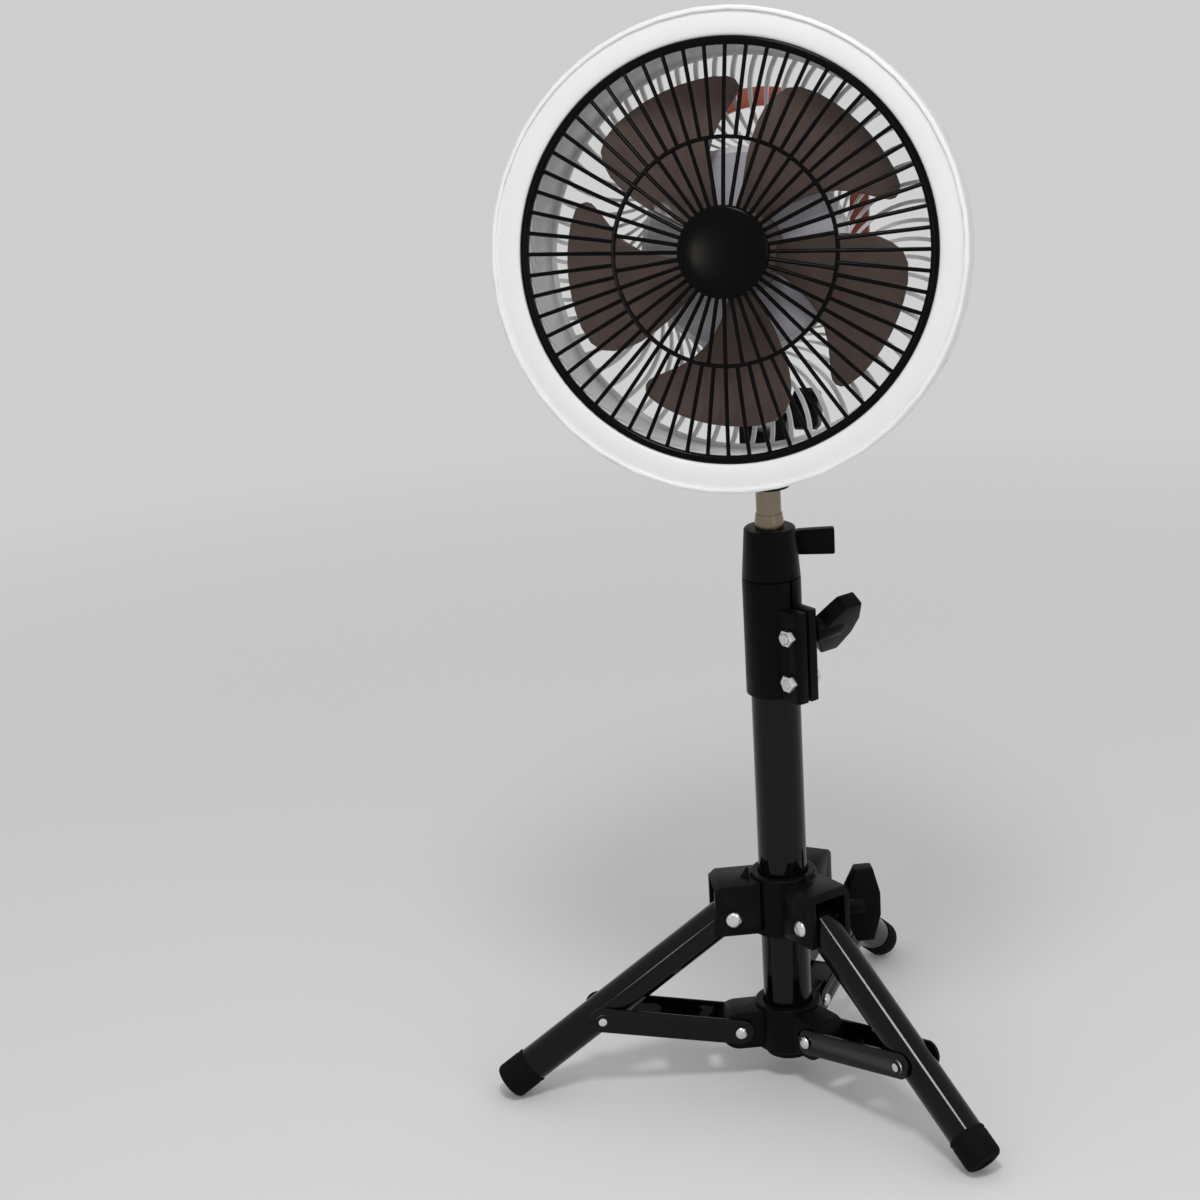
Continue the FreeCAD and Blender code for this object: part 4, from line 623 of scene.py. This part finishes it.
class GrilleOperator(bpy.types.Operator):
    """Models the front grille: its bands and two rows of rounded bars on a shallow dome"""

    bl_idname = "camping_fan.grille"
    bl_label = "Front grille"

    def execute(self, context):
        sizes = context.scene.fan_sizes
        inside = sizes.grille_radius - sizes.grille_band
        plane = sizes.ring_plane
        back = plane - sizes.grille_depth

        def dome(radius):
            run = inside * inside - sizes.cap_radius * sizes.cap_radius
            fall = max(0.0, radius * radius - sizes.cap_radius * sizes.cap_radius)
            return sizes.grille_dome * (1 - fall / run)

        band = turn_rings(
            "grille_band",
            [
                (inside, back),
                (inside, plane - 0.0008),
                (inside + 0.0005, plane - 0.0002),
                (inside + 0.0013, plane + 0.0001),
                (sizes.grille_radius - 0.0013, plane + 0.0001),
                (sizes.grille_radius - 0.0004, plane - 0.0002),
                (sizes.grille_radius, plane - 0.0008),
                (sizes.grille_radius, back),
            ],
            steps=144,
            closed=True,
        )
        middle = sizes.middle_radius
        half_band = 0.0008
        top = plane + dome(middle)
        middle_band = turn_rings(
            "grille_middle",
            [
                (middle - half_band, top - sizes.grille_depth),
                (middle - half_band, top - 0.0006),
                (middle - half_band * 0.5, top - 0.0001),
                (middle + half_band * 0.5, top - 0.0001),
                (middle + half_band, top - 0.0006),
                (middle + half_band, top - sizes.grille_depth),
            ],
            steps=144,
            closed=True,
        )
        crown = plane + sizes.grille_dome
        disc = turn_rings(
            "grille_disc",
            [
                (0.0006, crown - sizes.grille_depth),
                (sizes.cap_radius - 0.0004, crown - sizes.grille_depth),
                (sizes.cap_radius, crown - 0.0020),
                (sizes.cap_radius, crown - 0.0003),
                (sizes.cap_radius - 0.0003, crown),
                (0.0006, crown),
            ],
        )
        pieces = [band, middle_band, disc]
        for name, count, start, end in (
            ("grille_outer_bar", sizes.outer_bars, middle, inside + 0.0008),
            ("grille_inner_bar", sizes.inner_bars, sizes.cap_radius, middle),
        ):
            pieces.append(self.row_of_bars(name, count, start, end, sizes, dome))
        grille = join("front_grille_dressed", pieces)
        settle(grille, HEAD_FRAME)
        dress(grille, "grille_plastic", "head", "front_grille")
        return {"FINISHED"}

    def row_of_bars(self, name, count, start, end, sizes, dome):
        steps = 7
        half = sizes.bar_width / 2
        middle_depth = sizes.ring_plane - sizes.grille_depth / 2
        deselect_all()
        height = middle_depth + dome(start)
        bpy.ops.mesh.primitive_circle_add(
            vertices=10, radius=half, location=(start, 0, height), rotation=(0, math.pi / 2, 0)
        )
        bar = bpy.context.object
        bar.name = name
        apply_place()
        edit(bar)
        stretch = sizes.grille_depth / sizes.bar_width
        bpy.ops.transform.resize(value=(1, 1, stretch), center_override=(0, 0, height))
        radius = start
        for i in range(1, steps + 1):
            further = start + (end - start) * i / steps
            bpy.ops.mesh.extrude_edges_move(
                TRANSFORM_OT_translate={"value": (further - radius, 0, dome(further) - dome(radius))}
            )
            radius = further
        bpy.ops.mesh.select_all(action="SELECT")
        bpy.ops.mesh.fill_holes(sides=0)
        leave_edit()
        close_shape(bar, 60)
        return copy_round(bar, count)


class CapOperator(bpy.types.Operator):
    """Models the hub cap as a low dome with a rounded rim"""

    bl_idname = "camping_fan.cap"
    bl_label = "Hub cap"

    def execute(self, context):
        sizes = context.scene.fan_sizes
        foot = sizes.ring_plane + sizes.grille_dome
        radius = sizes.cap_radius
        height = sizes.cap_height
        cap = turn_rings(
            "hub_cap_dressed",
            [
                (0.0005, foot),
                (radius - 0.0003, foot),
                (radius, foot + 0.0003),
                (radius, foot + height * 0.42),
                (radius - 0.0004, foot + height * 0.60),
                (radius - 0.0012, foot + height * 0.72),
                (radius * 0.82, foot + height * 0.84),
                (radius * 0.58, foot + height * 0.94),
                (radius * 0.30, foot + height * 0.99),
                (0.0005, foot + height),
            ],
            angle=50,
        )
        settle(cap, HEAD_FRAME)
        dress(cap, "grille_plastic", "head", "hub_cap")
        return {"FINISHED"}


# Each station along a blade's sweep: degrees from its nose, and how far its inner and
# its outer end stand between the hub (0) and the tip circle (1)
BLADE_STATIONS = (
    (0.4, 0.885, 0.925),
    (1.6, 0.835, 0.965),
    (4.0, 0.770, 0.990),
    (9.0, 0.655, 1.0),
    (13.0, 0.560, 1.0),
    (17.0, 0.450, 1.0),
    (20.0, 0.355, 1.0),
    (23.0, 0.235, 1.0),
    (25.5, 0.110, 1.0),
    (28.0, 0.0, 1.0),
    (33.0, 0.0, 1.0),
    (38.0, 0.0, 1.0),
    (44.0, 0.0, 1.0),
    (50.0, 0.0, 0.985),
    (54.0, 0.0, 0.945),
    (57.0, 0.0, 0.870),
    (59.5, 0.0, 0.780),
    (61.5, 0.0, 0.660),
    (63.0, 0.0, 0.520),
    (63.9, 0.0, 0.400),
)


class RotorOperator(bpy.types.Operator):
    """Models the rotor: a cupped hub and swept, slightly hollowed blades"""

    bl_idname = "camping_fan.rotor"
    bl_label = "Rotor"

    def execute(self, context):
        sizes = context.scene.fan_sizes
        blade = self.sweep_blade(sizes)
        apply_modifier(blade, "SOLIDIFY", thickness=sizes.blade_thickness, offset=0.0)
        round_edges(blade, sizes.blade_thickness * 0.42, 2, 50)
        blades = copy_round(blade, sizes.blade_count)
        hub = turn_rings(
            "rotor_hub",
            [
                (0.0160, -0.0100),
                (0.0178, -0.0100),
                (0.0180, -0.0097),
                (0.0180, 0.0075),
                (0.0176, 0.0090),
                (0.0165, 0.0098),
                (0.0150, 0.0100),
                (0.0020, 0.0100),
                (0.0020, 0.0075),
                (0.0155, 0.0075),
                (0.0160, 0.0070),
            ],
            closed=True,
        )
        rotor = join("fan_rotor_dressed", [blades, hub])
        settle(rotor, HEAD_FRAME)
        dress(rotor, "smoke_plastic", "rotor", "fan_rotor")
        return {"FINISHED"}

    def sweep_blade(self, sizes):
        """A thin sheet, drawn row by row from the blade's nose round to its tail."""
        span = sizes.blade_radius - sizes.blade_root
        first, last = BLADE_STATIONS[0][0], BLADE_STATIONS[-1][0]
        low = sizes.blade_root + span * BLADE_STATIONS[0][1]
        high = sizes.blade_root + span * BLADE_STATIONS[0][2]
        strip = 0.00005
        deselect_all()
        bpy.ops.mesh.primitive_grid_add(x_subdivisions=8, y_subdivisions=1, size=1, location=(0, 0, 0))
        sheet = bpy.context.object
        sheet.name = "blade"
        sheet.location = ((low + high) / 2, -strip / 2, -sizes.blade_rise / 2)
        sheet.scale = (high - low, strip, 1)
        apply_place()
        edit(sheet)
        select_parts(sheet, "VERT", lambda vertex: vertex.co.y > -strip / 2)
        angle = 0.0
        for i in range(1, len(BLADE_STATIONS)):
            station = BLADE_STATIONS[i]
            turn = math.radians(station[0] - BLADE_STATIONS[i - 1][0])
            rise = sizes.blade_rise * (station[0] - BLADE_STATIONS[i - 1][0]) / (last - first)
            bpy.ops.mesh.extrude_edges_move(TRANSFORM_OT_translate={"value": (0, 0, rise)})
            bpy.ops.transform.rotate(value=-turn, orient_axis="Z", center_override=(0, 0, 0))
            angle += turn
            outward = Vector((math.cos(angle), math.sin(angle), 0))
            next_low = sizes.blade_root + span * station[1]
            next_high = sizes.blade_root + span * station[2]
            grown = (next_high - next_low) / (high - low)
            bpy.ops.transform.resize(value=(grown, grown, 1), center_override=outward * low)
            bpy.ops.transform.translate(value=outward * (next_low - low))
            low, high = next_low, next_high
        leave_edit()
        close_shape(sheet, 80)
        settle(sheet, Matrix.Rotation(sizes.blade_phase + math.radians(first), 4, "Z"))
        return sheet


class RingOperator(bpy.types.Operator):
    """Rounds the ring's housing and models the milky diffuser with its rolled edges"""

    bl_idname = "camping_fan.ring"
    bl_label = "Ring and diffuser"

    def execute(self, context):
        sizes = context.scene.fan_sizes
        housing = rounded_copy("ring_housing_dressed", "ring_housing", 0.0004)
        dress(housing, "white_plastic", "head", "ring_housing")
        plane = sizes.ring_plane
        outside = half_width("ring_diffuser")
        inside = sizes.grille_radius + 0.00005
        back = plane - 0.0024
        face = turn_rings(
            "ring_diffuser_dressed",
            [
                (inside, back),
                (inside, plane - 0.0008),
                (inside + 0.0004, plane - 0.0001),
                (inside + 0.0014, plane + 0.0003),
                (inside + 0.0040, plane + 0.0006),
                (outside - 0.0035, plane + 0.0006),
                (outside - 0.0014, plane + 0.0004),
                (outside - 0.0005, plane + 0.0003),
                (outside + 0.0003, plane + 0.0005),
                (outside + 0.0003, back),
            ],
            steps=160,
            closed=True,
            angle=50,
        )
        settle(face, HEAD_FRAME)
        dress(face, "diffuser", "head", "ring_diffuser")
        return {"FINISHED"}


class ClampsOperator(bpy.types.Operator):
    """Rounds the edges of the moulded clamps, hub, collar, bracket and tilt knob, and of the nuts"""

    bl_idname = "camping_fan.clamps"
    bl_label = "Clamps and hub"

    def execute(self, context):
        width = context.scene.fan_sizes.edge_round
        moulded = ("leg_hub", "lower_collar", "upper_clamp", "lower_clamp", "tilt_bracket", "tilt_knob")
        fastened = ("lower_knob_nut", "fixed_nut", "fixed_bolt", "upper_knob_nut", "tilt_nut")
        for nodes, slot, wide, segments in (
            (moulded, "black_plastic", width, 2), (fastened, "steel", width * 0.7, 3)
        ):
            for node in nodes:
                body = body_of(NODES[node])[0]
                piece = rounded_copy(node + "_dressed", node, wide, segments)
                dress(piece, slot, body, node)
        return {"FINISHED"}


class KnobsOperator(bpy.types.Operator):
    """Models the two wing knobs, the upper clamp's bar knob and their threaded studs"""

    bl_idname = "camping_fan.knobs"
    bl_label = "Knobs"

    def execute(self, context):
        sizes = context.scene.fan_sizes
        for node, joint, span, depth, turn, longer in (
            ("lower_knob", "lower_knob_turn", sizes.wing_span, sizes.wing_depth, sizes.wing_turn, 0.0010),
            ("hub_knob", "hub_knob_turn", sizes.hub_wing_span, sizes.hub_wing_depth, 0.0, 0.0),
        ):
            body = body_of(NODES[node])[0]
            where = along(*line_of(joint)) @ Matrix.Rotation(turn, 4, "Z")
            knob = self.wing_knob(node + "_dressed", span, depth, sizes)
            settle(knob, where)
            dress(knob, "black_plastic", body, node)
            self.fit_stud(node, joint, body, where, longer, sizes)
        where = along(*line_of("upper_knob_turn"))
        bar = self.bar_knob("upper_knob_dressed", sizes)
        settle(bar, where)
        dress(bar, "black_plastic", "upper_bar", "upper_knob")
        self.fit_stud("upper_knob", "upper_knob_turn", "upper_bar", where, 0.0010, sizes)
        return {"FINISHED"}

    def fit_stud(self, node, joint, body, where, longer, sizes):
        """Put a stud in its knob, a little longer at the back than the knob's own."""
        back = reach_along(node, *line_of(joint))[0] - longer
        screw = self.threaded_stud(node + "_stud", back, sizes)
        settle(screw, where)
        dress(screw, "steel", body)

    def threaded_stud(self, name, back, sizes):
        """A threaded stud from inside its knob to a chamfered end."""
        rings = [(0.0004, 0.002), (sizes.stud_radius, 0.002)]
        groove = sizes.stud_radius - 0.0003
        turns = 6
        pitch = 0.0008
        height = back + 0.0004 + turns * pitch
        rings.append((sizes.stud_radius, height))
        for _ in range(turns):
            rings.append((groove, height - pitch * 0.5))
            height -= pitch
            rings.append((sizes.stud_radius, height))
        rings.append((groove, back))
        rings.append((0.0004, back))
        return turn_rings(name, rings, steps=32, angle=30)

    def wing_knob(self, name, span, depth, sizes):
        """A turned boss that carries two blunt wings with a bowed outer face."""
        half = span / 2
        boss = sizes.wing_boss
        top = depth * 0.6
        core = turn_rings(
            name + "_boss",
            [
                (0.0005, 0.0001),
                (boss - 0.0004, 0.0001),
                (boss, 0.0005),
                (boss, top),
                (boss - 0.0005, top + 0.0008),
                (boss - 0.0014, top + 0.0013),
                (0.0005, top + 0.0014),
            ],
            steps=48,
            angle=50,
        )
        thick = sizes.wing_thickness / 2
        wings = add_block(name + "_wings", (-half * 0.3, -thick, depth * 0.14), (half * 0.3, thick, depth))
        for side in (1, -1):
            grow_side(wings, (side, 0, 0), (side * half * 0.35, 0, depth * 0.035), (1, 0.98, 0.73))
            grow_side(wings, (side, 0, 0), (side * half * 0.35, 0, depth * 0.035), (1, 0.94, 0.635))
        round_edges(wings, 0.0009, 4, 20)
        return join(name, [core, wings])

    def bar_knob(self, name, sizes):
        """A flat bar, a little waisted, on a short neck."""
        thick = sizes.bar_thickness / 2
        half = sizes.bar_span / 2
        depth = sizes.bar_depth
        neck = turn_rings(
            name + "_neck",
            [(0.0005, 0.0001), (0.0034, 0.0001), (0.0036, 0.0004), (0.0036, 0.0034), (0.0005, 0.0034)],
            steps=40,
        )
        bar = add_block(name + "_bar", (-half * 0.72, -thick, 0.0013), (half * 0.72, thick, depth * 0.16))
        grow_side(bar, (0, 0, 1), (0, 0, depth * 0.10), (1.28, 1.0, 1))
        grow_side(bar, (0, 0, 1), (0, 0, depth * 0.38), (1.04, 1.0, 1))
        grow_side(bar, (0, 0, 1), (0, 0, depth * 0.35), (1.03, 0.94, 1))
        round_edges(bar, 0.0009, 4, 25)
        return join(name, [neck, bar])


class LegsOperator(bpy.types.Operator):
    """Rounds the struts' sheet edges and models the rubber feet"""

    bl_idname = "camping_fan.legs"
    bl_label = "Struts and feet"

    def execute(self, context):
        sizes = context.scene.fan_sizes
        end = sizes.leg_length
        wide = sizes.foot_radius
        start = end - sizes.foot_length
        for i in (1, 2, 3):
            strut = rounded_copy(f"strut_{i}_dressed", f"strut_{i}", 0.0003)
            dress(strut, "black_metal", f"strut_{i}", f"strut_{i}")
            foot = turn_rings(
                f"foot_{i}_dressed",
                [
                    (0.0005, start + 0.0004),
                    (wide - 0.0012, start + 0.0002),
                    (wide - 0.0005, start),
                    (wide, start + 0.0005),
                    (wide, start + 0.0016),
                    (wide - 0.00025, start + 0.0020),
                    (wide - 0.00025, start + 0.0026),
                    (wide, start + 0.0030),
                    (wide, end - 0.0026),
                    (wide - 0.0003, end - 0.0014),
                    (wide - 0.0010, end - 0.0006),
                    (wide - 0.0022, end - 0.0001),
                    (wide * 0.45, end),
                    (wide * 0.40, end - 0.0006),
                    (0.0005, end - 0.0006),
                ],
                steps=72,
                angle=50,
            )
            hinge = Vector(JOINTS[f"leg_fold_{i}"]["pos_m"])
            settle(foot, along(hinge, leg_direction(hinge, sizes)))
            dress(foot, "rubber", f"leg_{i}", f"foot_{i}")
        return {"FINISHED"}


def leg_direction(hinge, sizes):
    """Down a leg, from its hinge towards its foot."""
    outward = Vector((hinge.x, hinge.y, 0)).normalized()
    return outward * math.sin(sizes.leg_angle) - Vector((0, 0, 1)) * math.cos(sizes.leg_angle)


# A pin's low dome, from its top: share of the head's radius, and drop as a share of its height
PIN_DOME = ((0.42, 0.06), (0.68, 0.22), (0.86, 0.45), (0.96, 0.72), (1.0, 0.94), (1.0, 1.0))


class PinsOperator(bpy.types.Operator):
    """Models the domed hinge pins and the struts' domed rivet heads"""

    bl_idname = "camping_fan.pins"
    bl_label = "Pins and rivets"

    def execute(self, context):
        sizes = context.scene.fan_sizes
        for i in (1, 2, 3):
            for node, joint, body, head in (
                (f"hub_pin_{i}", f"leg_fold_{i}", "hub", sizes.hub_pin_radius),
                (f"collar_pin_{i}", f"strut_fold_{i}", "column", sizes.rivet_radius),
            ):
                place, axis = line_of(joint)
                low, high = reach_along(node, place, axis)
                pin = self.domed_pin(node + "_dressed", low, high, head, sizes)
                settle(pin, along(place, axis))
                dress(pin, "steel", body, node)
            hinge = Vector(JOINTS[f"leg_fold_{i}"]["pos_m"])
            place = hinge + leg_direction(hinge, sizes) * sizes.strut_along
            axis = Vector(JOINTS[f"strut_fold_{i}"]["axis"])
            low, high = reach_along(f"strut_{i}", place, axis)
            heads = []
            for side, edge in ((1, high), (-1, -low)):
                head = self.domed_head(f"rivet_{i}_{side + 1}", sizes)
                settle(head, along(place + axis * side * (edge - sizes.rivet_height), axis * side))
                heads.append(head)
            rivet = join(f"strut_rivet_{i}", heads)
            dress(rivet, "steel", f"strut_{i}")
        return {"FINISHED"}

    def domed_pin(self, name, low, high, head, sizes):
        """A shank between two low domes with rounded rims."""
        height = sizes.rivet_height
        shank = head * 0.5
        rings = [(0.0004, low)]
        for share, drop in PIN_DOME:
            rings.append((head * share, low + height * drop))
        rings.append((shank, low + height))
        rings.append((shank, high - height))
        for share, drop in reversed(PIN_DOME):
            rings.append((head * share, high - height * drop))
        rings.append((0.0004, high))
        return turn_rings(name, rings, steps=48, angle=50)

    def domed_head(self, name, sizes):
        """A rivet's head that covers the raised boss on a strut's cheek."""
        head = sizes.rivet_radius + 0.0001
        height = sizes.rivet_height + 0.0001
        return turn_rings(
            name,
            [
                (0.0004, 0.0),
                (head, 0.0),
                (head, height * 0.30),
                (head * 0.97, height * 0.50),
                (head * 0.90, height * 0.72),
                (head * 0.76, height * 0.90),
                (head * 0.50, height * 0.98),
                (0.0004, height),
            ],
            steps=40,
            angle=50,
        )


class HookOperator(bpy.types.Operator):
    """Rounds the hanging hook's band"""

    bl_idname = "camping_fan.hook"
    bl_label = "Hanging hook"

    def execute(self, context):
        hook = rounded_copy("hanging_hook_dressed", "hanging_hook", 0.0012, 4)
        dress(hook, "hook_plastic", "hook", "hanging_hook")
        return {"FINISHED"}


class StageOperator(bpy.types.Operator):
    """Sets the floor, the soft lamps and the camera"""

    bl_idname = "camping_fan.stage"
    bl_label = "Stage"

    def execute(self, context):
        stage = context.scene.fan_stage
        self.lay_floor(stage)
        self.light_sky(context, stage)
        self.add_lamp("Top lamp", (0.08, -0.62, 1.20), 0.26, stage.top_power, (1.0, 1.0, 1.0))
        self.add_lamp("Side lamp", (-0.39, -1.40, 0.64), 0.10, stage.side_power, (1.0, 0.93, 0.80))
        self.add_lamp("Fill lamp", (1.15, -0.95, 0.75), 0.9, stage.fill_power, (1.0, 1.0, 1.0))
        self.add_camera(context, stage)
        context.scene.view_settings.view_transform = "Standard"
        return {"FINISHED"}

    def lay_floor(self, stage):
        deselect_all()
        bpy.ops.mesh.primitive_grid_add(
            x_subdivisions=8, y_subdivisions=8, size=FLOOR_SIZE, location=(0, 0, 0)
        )
        floor = bpy.context.object
        floor.name = "studio_floor"
        material = bpy.data.materials.new("Studio floor")
        material.use_nodes = True
        tree = material.node_tree
        place = tree.nodes.new("ShaderNodeTexCoord").outputs["Object"]
        paper = spread(tree, noise(tree, place, 1.2, 2.0, 0.5), 0.3, 0.7)
        colour = blend_colours(tree, paper, shade(stage.backdrop, 0.992), shade(stage.backdrop, 1.008))
        shader = tree.nodes["Principled BSDF"]
        tree.links.new(colour, shader.inputs["Base Color"])
        shader.inputs["Roughness"].default_value = 0.9
        shader.inputs["Specular IOR Level"].default_value = 0.1
        far = tree.nodes.new("ShaderNodeEmission")
        far.inputs["Strength"].default_value = stage.backdrop_glow
        split = tree.nodes.new("ShaderNodeSeparateXYZ")
        tree.links.new(place, split.inputs["Vector"])
        squares = [reckon(tree, "MULTIPLY", split.outputs[axis], split.outputs[axis]) for axis in "XY"]
        distance = reckon(tree, "ADD", *squares)
        share = reckon(tree, "MULTIPLY", spread(tree, distance, FADE_START, FADE_END), self.seen_ray(tree))
        mix_shaders(tree, share, shader.outputs["BSDF"], far.outputs["Emission"], "Material Output")
        floor.data.materials.append(material)

    def seen_ray(self, tree):
        """1 for what the camera sees, straight, mirrored or through glass."""
        path = tree.nodes.new("ShaderNodeLightPath")
        mirrored = reckon(tree, "MAXIMUM", path.outputs["Is Glossy Ray"], path.outputs["Is Transmission Ray"])
        return reckon(tree, "MAXIMUM", path.outputs["Is Camera Ray"], mirrored)

    def light_sky(self, context, stage):
        world = bpy.data.worlds.new("Studio sky")
        context.scene.world = world
        world.use_nodes = True
        tree = world.node_tree
        even = tree.nodes["Background"]
        seen = tree.nodes.new("ShaderNodeBackground")
        for sky, strength in ((even, stage.sky_level), (seen, stage.backdrop_glow)):
            sky.inputs["Color"].default_value = WHITE
            sky.inputs["Strength"].default_value = strength
        skies = (even.outputs["Background"], seen.outputs["Background"])
        mix_shaders(tree, self.seen_ray(tree), *skies, "World Output")

    def add_lamp(self, name, place, size, power, colour):
        deselect_all()
        bpy.ops.object.light_add(type="AREA", location=place)
        lamp = bpy.context.object
        lamp.name = name
        lamp.data.shape = "DISK"
        lamp.data.size = size
        lamp.data.energy = power
        lamp.data.color = colour
        aim = LAMP_TARGET - Vector(place)
        lamp.rotation_euler = aim.to_track_quat("-Z", "Y").to_euler()

    def add_camera(self, context, stage):
        yaw, pitch, roll = stage.camera_turn
        flat = math.cos(pitch)
        ahead = Vector((math.sin(yaw) * flat, math.cos(yaw) * flat, -math.sin(pitch)))
        level_right = Vector((math.cos(yaw), -math.sin(yaw), 0))
        level_up = level_right.cross(ahead)
        right = level_right * math.cos(roll) + level_up * math.sin(roll)
        up = level_up * math.cos(roll) - level_right * math.sin(roll)
        deselect_all()
        bpy.ops.object.camera_add(location=(0, 0, 0))
        camera = bpy.context.object
        camera.name = "studio_camera"
        camera.matrix_world = frame_at(stage.camera_place, right, up, -ahead)
        camera.data.lens = stage.lens
        camera.data.sensor_width = SENSOR_WIDTH
        context.scene.camera = camera


class CampingFanPanel(bpy.types.Panel):
    """Lists the fan's sizes, colours and making steps."""

    bl_idname = "VIEW3D_PT_camping_fan"
    bl_label = "Camping Fan"
    bl_space_type = "VIEW_3D"
    bl_region_type = "UI"
    bl_category = "Camping Fan"

    def draw(self, context):
        for group in (context.scene.fan_sizes, context.scene.fan_colours, context.scene.fan_stage):
            box = self.layout.box()
            for name in group.__annotations__:
                box.prop(group, name)
        for operator in MAKING_STEPS:
            self.layout.operator(operator.bl_idname)


MAKING_STEPS = (
    StageOperator,
    FinishesOperator,
    GrilleOperator,
    CapOperator,
    RotorOperator,
    RingOperator,
    ClampsOperator,
    KnobsOperator,
    LegsOperator,
    PinsOperator,
    HookOperator,
)
CLASSES = (FanSizes, FanColours, FanStage) + MAKING_STEPS + (CampingFanPanel,)


def register():
    for item in CLASSES:
        bpy.utils.register_class(item)
    bpy.types.Scene.fan_sizes = PointerProperty(type=FanSizes)
    bpy.types.Scene.fan_colours = PointerProperty(type=FanColours)
    bpy.types.Scene.fan_stage = PointerProperty(type=FanStage)


def unregister():
    del bpy.types.Scene.fan_stage
    del bpy.types.Scene.fan_colours
    del bpy.types.Scene.fan_sizes
    for item in reversed(CLASSES):
        bpy.utils.unregister_class(item)


def main():
    register()
    bpy.ops.camping_fan.stage()
    bpy.ops.camping_fan.finishes()
    bpy.ops.camping_fan.grille()
    bpy.ops.camping_fan.cap()
    bpy.ops.camping_fan.rotor()
    bpy.ops.camping_fan.ring()
    bpy.ops.camping_fan.clamps()
    bpy.ops.camping_fan.knobs()
    bpy.ops.camping_fan.legs()
    bpy.ops.camping_fan.pins()
    bpy.ops.camping_fan.hook()


if __name__ == "__main__":
    main()
